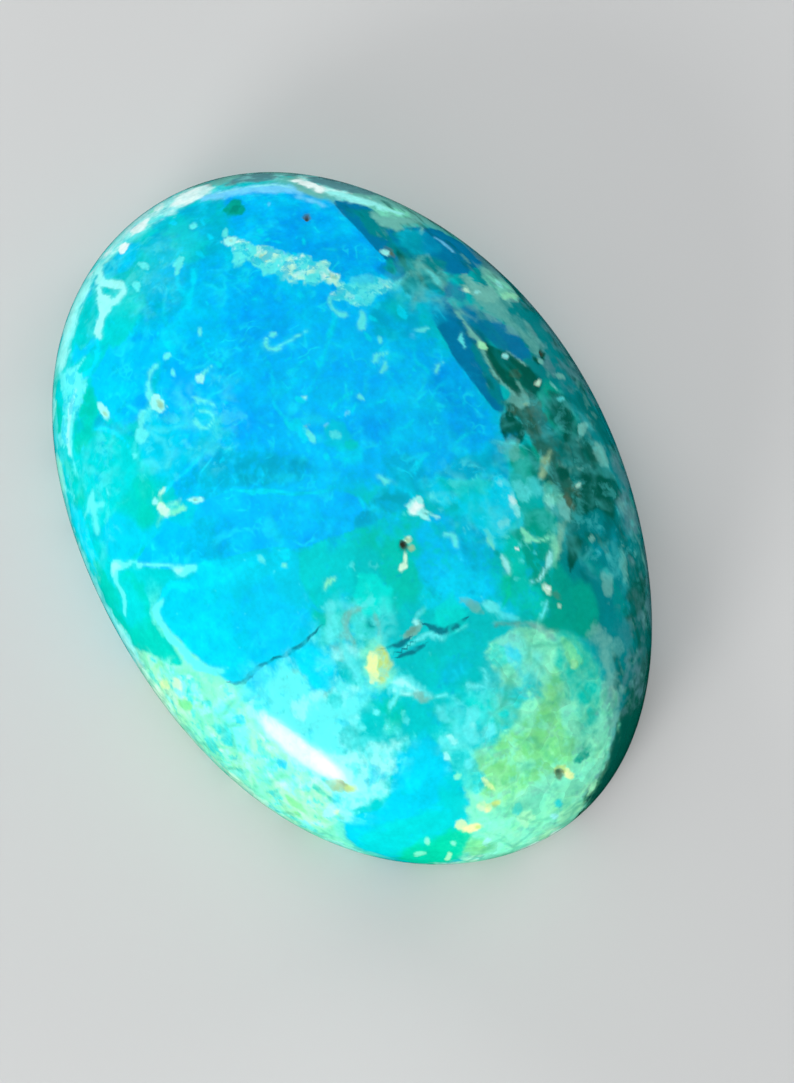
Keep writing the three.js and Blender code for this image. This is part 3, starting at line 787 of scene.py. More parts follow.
# ------------------------------------------- zones where the minerals mix in fine grains
# A zone is (softness of its edge, stops round it, grains), and a grain is (mineral, size of
# the grains, seed, noise where a grain starts and where it is whole, strength).
ZONES = {
    "blue": (0.6, [
        (-13, 1.8), (-11.6, 4), (-8, 5), (-5.6, 5), (-4.6, 3.4), (-2.8, 3), (-2.4, 5), (1.4, 5.3),
        (2.6, 3.6), (1.6, 1.6), (2.6, 0.6), (2.6, -2.4), (1, -6.2), (-0.6, -9), (-1.8, -6.4),
        (-4.4, -4.8), (-5.4, -6.4), (-8.6, -6.6), (-9.4, -2), (-8.8, 0.4), (-9, 1.2),
    ], [
        ("sky", 1.6, 21, 0, 0.8, 0.5), ("sapphire", 1.9, 23, 0.1, 0.8, 0.6),
        ("azure", 0.6, 25, 0.1, 0.6, 0.35), ("sky", 0.45, 27, 0.25, 0.7, 0.5),
        ("glint", 0.3, 29, 0.5, 0.9, 0.6),
    ]),
    "block": (0.3, [
        (1.7, -4.1), (3.8, -3.5), (5.2, -4.4), (5.2, -7.8), (3, -8.9), (1.2, -9.2), (1.1, -5.8),
    ], [
        ("glint", 0.6, 221, 0.1, 0.7, 0.4), ("sky", 0.8, 223, 0.2, 0.8, 0.4),
        ("ice", 0.25, 225, 0.65, 0.95, 0.4),
    ]),
    "heel": (0.3, [
        (10.4, -3.3), (11.3, -2.45), (13.6, -2.4), (14.5, -4), (15.4, -6.6), (13.3, -7.7), (12.1, -6.4),
        (11.7, -4.9),
    ], [
        ("glint", 0.7, 231, 0.1, 0.8, 0.4), ("aqua", 0.5, 233, 0.2, 0.8, 0.4),
    ]),
    "middle": (0.6, [
        (2.4, 3.4), (4.4, 4.6), (7, 4.6), (8.6, 3.2), (8.4, 1.6), (9.8, -0.2), (10.8, -2.2), (9.6, -4.2),
        (6, -4.2), (3.2, -3.6), (2.8, 0.6),
    ], [
        ("cyan", 0.7, 71, 0.1, 0.7, 0.45), ("aqua", 0.4, 73, 0.1, 0.7, 0.45),
        ("sea", 0.5, 75, 0.2, 0.8, 0.45), ("teal", 0.35, 76, 0.35, 0.8, 0.35),
        ("ice", 0.5, 77, 0.45, 0.9, 0.5),
    ]),
    "matrix_right": (0.3, [
        (8.6, 1), (8.7, 2.6), (9.6, 3.4), (11, 4.4), (13, 4.6), (15.2, 3.7), (16.8, 2.4), (18.6, 1.4),
        (18.8, -1), (18, -4), (16.6, -3.6), (15.2, -2.8), (14.2, -2.5), (12.4, -2), (11.6, -0.6),
        (10.4, 0.2), (9.4, 0.5),
    ], [
        ("lime", 1.1, 31, 0, 0.6, 0.35), ("sea", 0.9, 33, 0.1, 0.8, 0.4),
        ("pistachio", 0.6, 41, 0.1, 0.7, 0.4), ("sage", 0.4, 43, 0.15, 0.6, 0.35),
        ("mint", 0.35, 44, 0.1, 0.6, 0.5), ("milk", 0.5, 45, 0.3, 0.8, 0.25),
    ]),
    "matrix_low": (0.3, LOWER_MATRIX, [
        ("ice", 0.7, 51, -0.1, 0.6, 0.6), ("pistachio", 0.9, 53, 0.1, 0.8, 0.5),
        ("milk", 0.5, 57, 0.1, 0.7, 0.5), ("cream", 0.8, 58, 0.2, 0.8, 0.5),
        ("aqua", 0.35, 55, 0.15, 0.6, 0.5), ("lime", 0.7, 59, 0.45, 0.9, 0.35),
    ]),
    # the milk in this zone round the highlight is partly painted reflection
    "milky": (0.5, [
        (5.4, -3.9), (6.4, -3), (7.8, -3.4), (8.6, -4.4), (9.5, -3.6), (10.3, -2.8), (11, -4.3),
        (12.1, -5.4), (12.2, -7.2), (9.8, -7.4), (7.2, -8), (5.6, -8.2),
    ], [
        ("ice", 0.8, 61, 0, 0.8, 0.5), ("cyan", 0.5, 63, 0, 0.6, 0.5), ("lagoon", 0.4, 64, 0.3, 0.8, 0.4),
        ("milk", 0.9, 65, -0.1, 0.6, 0.6), ("ice", 0.2, 66, 0.2, 0.6, 0.5),
        ("sage", 0.5, 67, 0.35, 0.9, 0.35),
    ]),
    # the belt's dark grains are partly painted shade
    "belt": (0.2, [
        (-11, 5.2), (-8, 5.25), (-6, 5.4), (-4, 5.5), (1, 5.7), (2.6, 5), (5, 4.8), (7.6, 5.2),
        (9.6, 5.4), (12.6, 5.2), (12.4, 7.6), (9, 11.4), (0, 13), (-8, 11),
    ], [
        ("jade", 0.8, 81, 0.2, 0.8, 0.35), ("ocean", 0.9, 83, 0, 0.7, 0.4),
        ("bottle", 0.8, 85, 0, 0.8, 0.5), ("sage", 0.7, 87, 0.2, 0.9, 0.4),
    ]),
    # painted shade: the slate grains on the belt's rim darken the shaded top side
    "belt_rim": (0.5, [
        (-9.4, 8.4), (-7, 9.8), (-4, 9.9), (-1, 9.6), (2, 9.6), (5, 9.4), (7.8, 8.2), (9.4, 6.6),
        (11.4, 5.4), (13.6, 4.9), (13.6, 8.6), (9, 11.6), (0, 13.4), (-8, 11.4),
    ], [
        ("slate", 0.9, 181, -0.5, 0.4, 0.6), ("sage", 0.6, 183, 0.2, 0.8, 0.4),
        ("bottle", 0.7, 185, 0.3, 0.9, 0.4),
    ]),
    "left": (0.5, [
        (-15, 2), (-10.6, 0.4), (-8.6, 0.2), (-8.4, -4.6), (-5.4, -6.8), (-3, -9), (-3.6, -12), (-9, -11),
        (-13.6, -7),
    ], [
        ("aqua", 1.2, 91, 0, 0.8, 0.45), ("sea", 0.9, 93, 0.2, 0.9, 0.4),
        ("teal", 0.8, 95, 0.1, 0.8, 0.4), ("glint", 0.4, 97, 0.45, 0.9, 0.4),
    ]),
    # the milk and white grains on the left rims are partly painted reflection
    "rims": (0.6, [
        (-13.6, 3), (-14.2, 0), (-13.8, -4.8), (-11, -8.2), (-6, -11.2), (1.6, -11.8), (1.8, -14),
        (-8, -13.6), (-18, -6), (-19, 4), (-12, 9), (-10, 6),
    ], [
        ("milk", 0.9, 101, -0.3, 0.5, 0.75), ("white", 0.6, 102, 0.3, 0.8, 0.45),
        ("aqua", 0.5, 103, 0.2, 0.8, 0.45), ("mint", 0.5, 105, 0.2, 0.8, 0.35),
    ]),
    "rim_low": (0.5, [
        (2, -11.6), (8, -10.8), (13, -9), (16.4, -6.4), (17.4, -2.6), (17.5, 1.6), (19.6, 2), (19.6, -5),
        (15, -11.4), (8, -14), (2, -14),
    ], [
        ("cream", 0.9, 107, -0.3, 0.5, 0.6), ("milk", 0.6, 108, 0.1, 0.7, 0.4),
        ("sage", 0.5, 109, 0.2, 0.8, 0.3),
    ]),
}
ZONE_ROUGH = 0.3
BELT_FLOW = np.array([0.4, 1.2, 1])  # the belt's grains are drawn out along the stone
zone_covers = {}
for zone, (soft, stops, grains) in ZONES.items():
    cover = patch(stops, soft, ZONE_ROUGH)
    zone_covers[zone] = all_over(cover)
    flow = sheet[cover[0]] * (BELT_FLOW if zone == "belt" else 1)
    sow(grains, cover, flow, octaves=4)

# ------------------------------------------------------------------------------- veins
# A vein is (mineral, softness, how strong it is, stops of u, v and half the width).
VEINS = [
    # the frost, milk and white veins along the upper left rim are partly a painted reflection along the
    # rim
    ("frost", 0.25, 0.85, [
        (-13.6, 0.8, 0.3), (-13.2, 1.8, 0.34), (-12.7, 2.8, 0.34), (-12.3, 3.6, 0.4), (-11.9, 4.1, 0.26),
        (-11.3, 3.95, 0.14), (-10.8, 4.3, 0.12), (-10.3, 4.5, 0.08),
    ]),
    ("milk", 0.15, 0.6, [
        (-13.6, 1.2, 0.06), (-13.25, 2.4, 0.08), (-12.7, 3.5, 0.12), (-12.2, 3.95, 0.08),
    ]),
    ("white", 0.15, 1, [(-12.8, 4.45, 0.15), (-12.3, 4.75, 0.28), (-11.8, 5, 0.2), (-11.4, 4.9, 0.1)]),
    ("sage", 0.2, 0.8, [(-12.3, 4.25, 0.1), (-11.6, 4.4, 0.15), (-11, 4.8, 0.12)]),
    ("milk", 0.18, 0.85, [
        (-11.2, 5.3, 0.12), (-10.7, 5.9, 0.22), (-10, 6.6, 0.22), (-9.4, 7.1, 0.2), (-9.2, 7.6, 0.1),
    ]),
    ("milk", 0.12, 0.9, [
        (-13.9, -4.8, 0.2), (-12.7, -4.85, 0.14), (-12, -4.5, 0.14), (-11.5, -4.2, 0.14),
        (-11, -4.25, 0.1),
    ]),
    ("milk", 0.1, 0.95, [
        (-12.5, -5.1, 0.1), (-11.8, -5.2, 0.16), (-11.3, -5.15, 0.28), (-10.7, -5.6, 0.2),
        (-10.2, -5.95, 0.17), (-9.9, -5.95, 0.08),
    ]),
    ("milk", 0.1, 0.9, [(-11.1, -4.3, 0.12), (-10.9, -4.7, 0.2), (-11, -5.1, 0.24)]),
    ("glint", 0.1, 0.9, [(-9.9, -6.1, 0.06), (-9.3, -6.35, 0.08), (-8.9, -6.8, 0.07), (-9, -7.3, 0.1)]),
    ("ice", 0.1, 0.9, [(-9.7, -7, 0.08), (-9.7, -7.6, 0.1), (-10.2, -8, 0.1)]),
    ("ice", 0.12, 0.9, [
        (-11.6, -9.6, 0.1), (-10.4, -8.4, 0.14), (-9.2, -7.8, 0.16), (-8.4, -8, 0.18), (-7.9, -8.8, 0.18),
        (-7.2, -9.4, 0.14), (-6.6, -9.6, 0.06), (-5.6, -9.7, 0.03),
    ]),
    ("milk", 0.1, 0.8, [(-8.8, -8, 0.1), (-8.3, -8.7, 0.14), (-7.6, -9.3, 0.12), (-6.8, -9.6, 0.06)]),
    ("ice", 0.1, 0.7, [(-6.6, -11, 0.06), (-6, -10.7, 0.06), (-5.4, -10.4, 0.04)]),
    ("glint", 0.08, 0.9, [
        (-9.9, -1.45, 0.06), (-9.4, -1.6, 0.07), (-9, -1.9, 0.08), (-8.7, -2.15, 0.08),
        (-8.3, -2.35, 0.06),
    ]),
    ("glint", 0.1, 0.7, [(-10.1, -2.1, 0.08), (-9.3, -2.3, 0.08), (-8.8, -2.1, 0.08)]),
    ("glint", 0.08, 0.6, [(-9.6, -0.1, 0.05), (-9, -0.4, 0.05)]),
    # curves in the blue
    ("glint", 0.12, 0.6, [
        (-4.75, 1.9, 0.06), (-4.1, 1.35, 0.1), (-3.6, 0.9, 0.1), (-3.2, 0.45, 0.08), (-2.75, -0.1, 0.06),
        (-2.5, -0.5, 0.06),
    ]),
    ("glint", 0.12, 0.6, [(-5.6, 2.3, 0.06), (-5.1, 2.15, 0.1), (-4.7, 1.9, 0.12), (-4.2, 1.4, 0.1)]),
    ("ice", 0.07, 1, [
        (-5.4, -0.5, 0.05), (-5.2, -0.65, 0.07), (-4.98, -0.66, 0.09), (-4.8, -0.36, 0.07),
        (-4.85, 0.3, 0.035), (-4.9, 0.95, 0.03),
    ]),
    ("ice", 0.08, 0.9, [
        (-5.78, 2.4, 0.05), (-5.6, 2.25, 0.08), (-5.3, 2.22, 0.06), (-5, 2.32, 0.08), (-4.82, 2.55, 0.06),
    ]),
    ("ice", 0.1, 0.9, [(-4.65, 3.1, 0.1), (-4.3, 2.95, 0.12), (-4.05, 2.72, 0.08)]),
    ("ice", 0.08, 0.9, [(-2.7, 3.1, 0.04), (-2.75, 2.75, 0.06), (-2.6, 2.55, 0.06)]),
    ("ice", 0.08, 0.9, [(-2.4, 2.85, 0.04), (-2.2, 2.7, 0.08), (-2.1, 2.55, 0.06)]),
    ("glint", 0.07, 0.9, [(-1.9, 1.2, 0.05), (-1.85, 0.7, 0.05), (-1.7, 0.2, 0.05)]),
    ("glint", 0.07, 0.8, [(-1.4, 1.1, 0.05), (-1.25, 0.7, 0.05), (-1.3, 0.2, 0.04)]),
    ("glint", 0.08, 0.8, [(1.6, 4.6, 0.04), (1.45, 4.1, 0.07), (1.6, 3.6, 0.05)]),
    ("glint", 0.1, 0.8, [(1.5, 2.4, 0.06), (1.6, 2, 0.1), (1.95, 1.6, 0.06)]),
    ("glint", 0.08, 0.7, [(0.1, 2.6, 0.05), (0.25, 2.2, 0.1), (0.1, 1.9, 0.05)]),
    ("glint", 0.08, 0.6, [(-2.6, 4.2, 0.05), (-1.9, 3.9, 0.06), (-1.4, 4.1, 0.05), (-0.9, 3.8, 0.04)]),
    ("glint", 0.08, 0.6, [(-0.7, 4.4, 0.04), (-0.55, 3.9, 0.05), (-0.2, 3.5, 0.04)]),
    ("glint", 0.08, 0.7, [(-8, 0.9, 0.04), (-8.1, 0.2, 0.05), (-8.5, -0.6, 0.04)]),
    ("glint", 0.08, 0.7, [(-4.5, -0.9, 0.04), (-3.7, -1.1, 0.05), (-3, -1.5, 0.05), (-2.2, -1.4, 0.04)]),
    ("ice", 0.08, 0.9, [(-6.9, -4.55, 0.07), (-6.8, -4.85, 0.07), (-6.4, -5.15, 0.05), (-6, -5.3, 0.06)]),
    ("ice", 0.09, 0.9, [
        (-6.1, -5.25, 0.06), (-5.8, -5.3, 0.12), (-5.5, -5.5, 0.16), (-5.4, -5.9, 0.17),
        (-5.2, -6.2, 0.1),
    ]),
    ("ice", 0.06, 0.9, [(-5.5, -2.8, 0.05), (-5.45, -3.1, 0.07), (-5.35, -3.4, 0.06)]),
    ("ice", 0.08, 0.9, [(-4.95, -4, 0.06), (-4.5, -3.7, 0.06), (-4.2, -3.45, 0.05), (-4, -3.45, 0.05)]),
    ("ice", 0.08, 0.9, [
        (-4.2, -4, 0.05), (-4.05, -3.75, 0.05), (-3.7, -3.65, 0.05), (-3.5, -3.9, 0.05),
        (-3.6, -4.2, 0.05), (-4, -4.25, 0.05),
    ]),
    ("glint", 0.08, 0.8, [(-6.6, -2.6, 0.04), (-6, -2.75, 0.06), (-5.5, -2.55, 0.06)]),
    ("glint", 0.1, 0.8, [(-2.75, -4.6, 0.04), (-2.55, -5.4, 0.07), (-2.5, -6, 0.07), (-2.4, -6.5, 0.08)]),
    ("glint", 0.08, 0.8, [(-6.6, -8, 0.04), (-6.2, -7.5, 0.05), (-5.4, -7.1, 0.05), (-4.8, -7, 0.03)]),
    # the pale line between the dark wedge and the lens
    ("glint", 0.06, 1, [
        (0.94, -1.5, 0.07), (0.63, -2.15, 0.05), (0.31, -2.7, 0.05), (0, -3.06, 0.07),
        (-0.22, -3.44, 0.08), (-0.56, -3.9, 0.05), (-0.88, -4.3, 0.03), (-1.06, -4.9, 0.03),
    ]),
    # the white vein at the lens's foot
    ("glint", 0.1, 0.8, [(1.05, -5.9, 0.04), (0.85, -6.5, 0.06), (0.7, -7, 0.08)]),
    ("ice", 0.07, 0.95, [
        (0.69, -7, 0.08), (0.6, -7.4, 0.12), (0.45, -7.6, 0.15), (0.15, -7.8, 0.06), (-0.13, -8.1, 0.05),
        (-0.38, -8.44, 0.06), (-0.75, -8.9, 0.07), (-1.06, -9.2, 0.08), (-1.2, -9.6, 0.1),
        (-1.45, -10, 0.2), (-1.25, -10.25, 0.14), (-1, -10.42, 0.1), (-0.3, -10.42, 0.11),
        (0.2, -10.85, 0.04),
    ]),
    ("milk", 0.08, 0.7, [(0.5, -7.45, 0.05), (0.45, -7.65, 0.1), (0.3, -7.75, 0.04)]),
    ("milk", 0.1, 0.6, [(-1.3, -9.8, 0.06), (-1.5, -10.05, 0.14), (-1.3, -10.3, 0.06)]),
    ("glint", 0.08, 0.5, [(-1.5, -8.1, 0.04), (-1.25, -8.6, 0.05), (-1, -9, 0.05)]),
    ("glint", 0.12, 0.9, [
        (1.4, -7.3, 0.08), (1, -7.8, 0.1), (0.75, -8.25, 0.1), (0.85, -8.7, 0.1), (1, -9.1, 0.12),
    ]),
    ("ice", 0.1, 0.9, [
        (0.95, -8.8, 0.06), (1, -9.25, 0.16), (1.4, -9.4, 0.14), (2.25, -9.3, 0.12), (3, -9.1, 0.13),
        (3.8, -8.9, 0.14), (4.3, -8.5, 0.12), (4.5, -8.1, 0.08),
    ]),
    ("ice", 0.1, 0.85, [(-4.6, -9.3, 0.06), (-4.4, -9.6, 0.18), (-4.1, -9.6, 0.14), (-3.8, -9.1, 0.07)]),
    ("ice", 0.12, 0.75, [(-3.9, -9.7, 0.1), (-3.5, -9.9, 0.17), (-3.2, -10, 0.12)]),
    ("ice", 0.1, 0.7, [(-4.25, -9.7, 0.07), (-4.25, -10.2, 0.06), (-4.15, -10.6, 0.06)]),
    ("ice", 0.08, 0.9, [(1.4, 0.4, 0.04), (1.6, 0.5, 0.07), (1.95, 0.8, 0.04)]),
    ("glint", 0.08, 0.7, [(2, 0.7, 0.03), (2.4, 1.05, 0.04), (2.7, 1.15, 0.05)]),
    # veins of the dark belt
    ("sage", 0.2, 0.5, [(-6.35, 7.05, 0.07), (-6.25, 6.7, 0.1), (-5.9, 6.3, 0.12), (-5.4, 6.1, 0.08)]),
    ("sage", 0.25, 0.6, [
        (-5.8, 6.5, 0.1), (-5.1, 6.6, 0.18), (-4.6, 6.75, 0.2), (-4, 6.6, 0.18), (-3.5, 6.6, 0.14),
        (-3, 6.8, 0.08), (-2.7, 7, 0.05),
    ]),
    ("ice", 0.12, 0.5, [(-5.5, 6.55, 0.06), (-5, 6.6, 0.12), (-4.4, 6.65, 0.06)]),
    ("sage", 0.25, 0.55, [(-5.6, 5.9, 0.08), (-5.5, 5.3, 0.14), (-5.3, 4.9, 0.16), (-5.2, 4.6, 0.14)]),
    ("ice", 0.1, 0.5, [(-5.6, 5.7, 0.05), (-5.4, 5.2, 0.08), (-5, 4.8, 0.08)]),
    ("sage", 0.22, 0.5, [(-5.2, 6.1, 0.06), (-4.7, 5.8, 0.12), (-4.3, 5.6, 0.1), (-3.95, 6.2, 0.06)]),
    ("sage", 0.22, 0.45, [(-4.8, 5.7, 0.06), (-4.3, 5.2, 0.1), (-4, 4.9, 0.06)]),
    ("sage", 0.08, 0.9, [
        (-3.2, 6.52, 0.04), (-2.6, 6.52, 0.06), (-2.1, 6.55, 0.1), (-1.6, 6.6, 0.12), (-1, 6.45, 0.05),
        (0, 6.45, 0.04), (0.7, 6.7, 0.05),
    ]),
    ("ice", 0.05, 0.8, [(-2.35, 6.15, 0.03), (-2.1, 5.98, 0.08), (-1.7, 5.9, 0.04)]),
    ("sage", 0.06, 0.8, [(-1, 7.5, 0.03), (-0.6, 7.75, 0.04), (-0.25, 7.95, 0.03)]),
    ("frost", 0.1, 0.6, [(-7.25, 8.1, 0.07), (-6.8, 8.25, 0.14), (-6.4, 8.35, 0.07)]),
    ("sage", 0.08, 0.8, [(-8, 7.9, 0.05), (-7.8, 7.7, 0.09), (-7.6, 7.5, 0.05)]),
    ("ice", 0.06, 0.9, [(-3, 5, 0.05), (-2.98, 4.75, 0.08), (-3.1, 4.5, 0.04)]),
    ("ice", 0.05, 0.9, [(-1.45, 4.75, 0.04), (-1.4, 4.5, 0.06), (-1.2, 4.35, 0.04)]),
    ("frost", 0.08, 0.6, [(-3, 4.4, 0.05), (-2.9, 4.3, 0.1), (-2.8, 4.3, 0.05)]),
    ("glint", 0.07, 0.9, [(-2.95, 3.85, 0.06), (-2.7, 3.8, 0.06), (-2.55, 4.05, 0.03)]),
    ("sand", 0.15, 0.7, [(3.3, 6.8, 0.07), (3.55, 6.5, 0.13), (3.8, 6.2, 0.14), (4.05, 5.9, 0.08)]),
    ("sage", 0.05, 0.8, [(4.25, 7.2, 0.03), (4.35, 7.7, 0.04), (4.45, 8.3, 0.02)]),
    ("ice", 0.12, 0.6, [(2.5, 5.6, 0.07), (2.4, 5.3, 0.1), (2.2, 5, 0.06), (2.1, 4.8, 0.04)]),
    ("sage", 0.08, 0.8, [(2.75, 9.3, 0.08), (3, 8.8, 0.12), (3.3, 8.4, 0.06)]),
    ("sand", 0.15, 0.6, [(5.9, 6, 0.1), (6.2, 5.5, 0.16), (6.6, 5.1, 0.18), (7, 4.8, 0.12)]),
    ("mint", 0.15, 0.45, [(5.9, 5.4, 0.1), (6.3, 5.1, 0.16), (6.8, 4.9, 0.14), (7.2, 4.6, 0.06)]),
    ("mint", 0.06, 0.9, [(5.5, 4.1, 0.08), (5.9, 4.2, 0.12), (6.15, 4.5, 0.06), (6.25, 4.9, 0.03)]),
    ("milk", 0.08, 0.8, [
        (6.7, 4.7, 0.06), (6.95, 4.45, 0.14), (7.2, 4.1, 0.07), (7.4, 3.8, 0.04), (7.35, 3.4, 0.05),
    ]),
    ("mint", 0.08, 0.9, [(4.95, 2.9, 0.06), (5.25, 2.87, 0.08), (5.6, 2.8, 0.04)]),
    ("milk", 0.07, 0.85, [(6.05, 2.9, 0.05), (6.4, 2.9, 0.11), (6.75, 2.8, 0.06)]),
    ("emerald", 0.08, 0.9, [(6.8, 2.75, 0.05), (7.3, 2.45, 0.05), (7.7, 1.9, 0.05)]),
    ("glint", 0.2, 0.5, [(6.9, 1.8, 0.1), (7.6, 1.9, 0.15), (8.2, 2.1, 0.15)]),
    ("sage", 0.12, 0.7, [
        (8.1, 1.5, 0.07), (8.4, 2.1, 0.1), (8.7, 2.6, 0.12), (9.2, 3, 0.1), (9.8, 3.3, 0.06),
    ]),
    ("ice", 0.12, 0.6, [(7.4, 1.55, 0.1), (7.9, 1.85, 0.12), (8.3, 2.3, 0.1)]),
    ("ice", 0.07, 0.9, [(8.3, 3.6, 0.05), (8.5, 3.4, 0.06), (8.7, 3.1, 0.03)]),
    # the white wedge by the middle crack, and ribbons near it
    ("ice", 0.14, 0.8, [(7.9, -2.95, 0.08), (8.3, -2.55, 0.26), (8.7, -2.25, 0.22), (9.1, -2, 0.08)]),
    ("milk", 0.08, 0.9, [(8.1, -2.8, 0.06), (8.3, -2.5, 0.12), (8.65, -2.25, 0.05), (9, -2.1, 0.07)]),
    ("milk", 0.05, 0.8, [(8.4, -2.85, 0.04), (8.7, -2.55, 0.05), (9.05, -2.2, 0.03)]),
    ("sage", 0.1, 0.8, [(8.85, -2.3, 0.06), (9.1, -2.08, 0.13), (9.25, -1.8, 0.04)]),
    ("ice", 0.06, 0.8, [(9.1, -1.95, 0.03), (9.35, -1.6, 0.05), (9.5, -1.3, 0.03)]),
    ("ice", 0.07, 0.8, [(8.5, -2.75, 0.05), (8.73, -3.1, 0.06), (8.88, -3.4, 0.03)]),
    ("ice", 0.08, 0.9, [
        (9.3, 0.3, 0.05), (9.6, 0.2, 0.07), (10, 0.15, 0.06), (9.75, -0.15, 0.06), (9.55, -0.5, 0.07),
    ]),
    ("ice", 0.08, 0.9, [(9.9, 0.5, 0.05), (10.15, 0.1, 0.08), (10.2, -0.3, 0.08), (10.45, -0.5, 0.04)]),
    ("ice", 0.1, 0.8, [(9.7, 0.75, 0.06), (10.2, 0.55, 0.1), (10.7, 0.6, 0.05)]),
    ("mint", 0.12, 0.8, [(8.9, 1.05, 0.08), (9.4, 0.95, 0.12), (10, 0.95, 0.1)]),
    ("ice", 0.07, 0.9, [(4.4, 1.45, 0.05), (4.65, 1.68, 0.09), (5, 1.56, 0.07)]),
    ("mint", 0.07, 0.9, [(3.82, -2.75, 0.03), (3.84, -3, 0.07), (3.98, -3.28, 0.05)]),
    ("ice", 0.06, 0.9, [(2.85, 1.9, 0.04), (3.05, 1.75, 0.07), (3.3, 1.9, 0.04)]),
    ("ice", 0.07, 0.9, [
        (7.62, -0.5, 0.04), (7.4, -0.6, 0.06), (7.22, -0.85, 0.08), (7.18, -1.3, 0.07),
        (7.22, -1.9, 0.05),
    ]),
    ("ice", 0.06, 0.8, [(7.6, 0.5, 0.03), (7.56, 0, 0.05), (7.55, -0.4, 0.04)]),
    ("smoke", 0.15, 0.4, [(8.15, 1.45, 0.05), (8.3, 1.9, 0.08), (8.55, 2.5, 0.05)]),
    # fine grey net in the pale ground by the crack
    ("sage", 0.1, 0.7, [(4.6, -1.9, 0.06), (5.2, -2.1, 0.1), (5.9, -2.2, 0.08), (6.4, -2.4, 0.08)]),
    ("sage", 0.1, 0.7, [(5.3, -2.3, 0.06), (5.2, -2.9, 0.1), (5.6, -3.3, 0.08), (6.2, -3.3, 0.06)]),
    ("ocean", 0.08, 0.5, [(5.5, -2.35, 0.04), (5.9, -2.5, 0.06), (6.3, -2.3, 0.04), (6.6, -2.1, 0.04)]),
    ("ice", 0.12, 0.6, [(4.6, -3.3, 0.1), (5, -3.7, 0.18), (5.5, -3.9, 0.12)]),
    ("ice", 0.12, 0.6, [(6.2, -3.7, 0.1), (6.8, -3.8, 0.14), (7.4, -3.9, 0.1)]),
]
for mineral, soft, strength, stops in VEINS:
    lay(mineral, streak(stops, soft), strength)

# ------------------------------------------------------------------------ the cream vein
CREAM_VEIN = [
    (-10, 0.65), (-9.6, 0.95), (-9.1, 1.45), (-8.6, 1.75), (-8.2, 2.05), (-7.7, 2.75), (-7.2, 3.15),
    (-6.3, 3.4), (-5.95, 3.6), (-5.8, 4.3), (-5.5, 4.7), (-4.95, 4.3), (-4.75, 3.5), (-4.85, 3.1),
    (-5.4, 2.8), (-6, 2.5), (-6.4, 2.2), (-6.7, 1.95), (-7, 1.7), (-7.4, 1.3), (-8, 0.95), (-8.8, 0.5),
    (-9.4, 0.35), (-9.8, 0.4),
]
CREAM_GRAINS = [
    ("cream", 0.6, 115, -0.2, 0.5, 0.7), ("white", 0.35, 119, 0, 0.6, 0.5),
    ("ice", 0.5, 121, 0.2, 0.7, 0.4),
]
cream_cover = patch(CREAM_VEIN, 0.12, 0.38)
# Where the pockets of blue show: in the cream vein, and more weakly in the pale spots.
vein = all_over(cream_cover)
found, amount = patch(PALE_SPOTS, 0.15, 0.35)
vein[found] = 0.8 * amount
lay("glint", patch(CREAM_VEIN, 0.4, 0.4), 0.6)
lay("ice", cream_cover, 0.9)
sow(CREAM_GRAINS, cream_cover, sheet[cream_cover[0]], octaves=3)

# Where a pale net of fine walls shows: how strong it is, softness of its edge, stops round it.
NETS = [
    (0.6, 0.6, [
        (-13.4, -2.6), (-11, -2), (-9.6, -3), (-9.4, -4.4), (-10.6, -5.6), (-9.6, -8.6), (-12.4, -7.6),
        (-14.2, -4.6),
    ]),
    (0.7, 0.5, [(-5.2, -2.6), (-3.4, -2.8), (-2.4, -4.2), (-2.6, -7), (-5, -7), (-5.6, -5)]),
    (1, 0.4, [
        (4.6, -1.6), (6.4, -1.4), (7.4, -2.2), (8.4, -2.4), (8.4, -4.2), (9.2, -5.6), (7, -5),
        (5.4, -4.4), (4.6, -3.2),
    ]),
    (1, 0.4, [(9.2, 1), (10.6, 0.8), (11.8, -0.6), (12.2, -2.2), (10.8, -2.4), (9.8, -1.6), (9.4, -0.2)]),
    (0.6, 0.5, [(-6, -7), (-2.6, -8.6), (-3, -11.8), (-9.6, -10.6), (-6.4, -9.2)]),
    (0.8, 0.3, [(3, 1.8), (5.6, 2.8), (5.4, 4.6), (3.6, 4.8), (2.2, 3)]),
    (0.5, 0.4, [(-6.4, 7), (-5.6, 4.8), (-4.2, 4.6), (-3.6, 5.6), (-3, 6.9), (-4.6, 7.2)]),
    (0.8, 0.5, [(5.6, -6), (8, -4.4), (10.2, -3.2), (12, -5.6), (12.2, -7.4), (8, -8.2), (5.4, -8.4)]),
    (0.5, 0.4, [(2.4, 4.4), (5, 4.6), (9, 6.6), (9.6, 9), (3, 9.6), (1, 7)]),
]
NET_ROUGH = 0.4
net = np.zeros(len(points))
for strength, soft, stops in NETS:
    found, amount = patch(stops, soft, NET_ROUGH)
    net[found] = np.maximum(net[found], strength * amount)
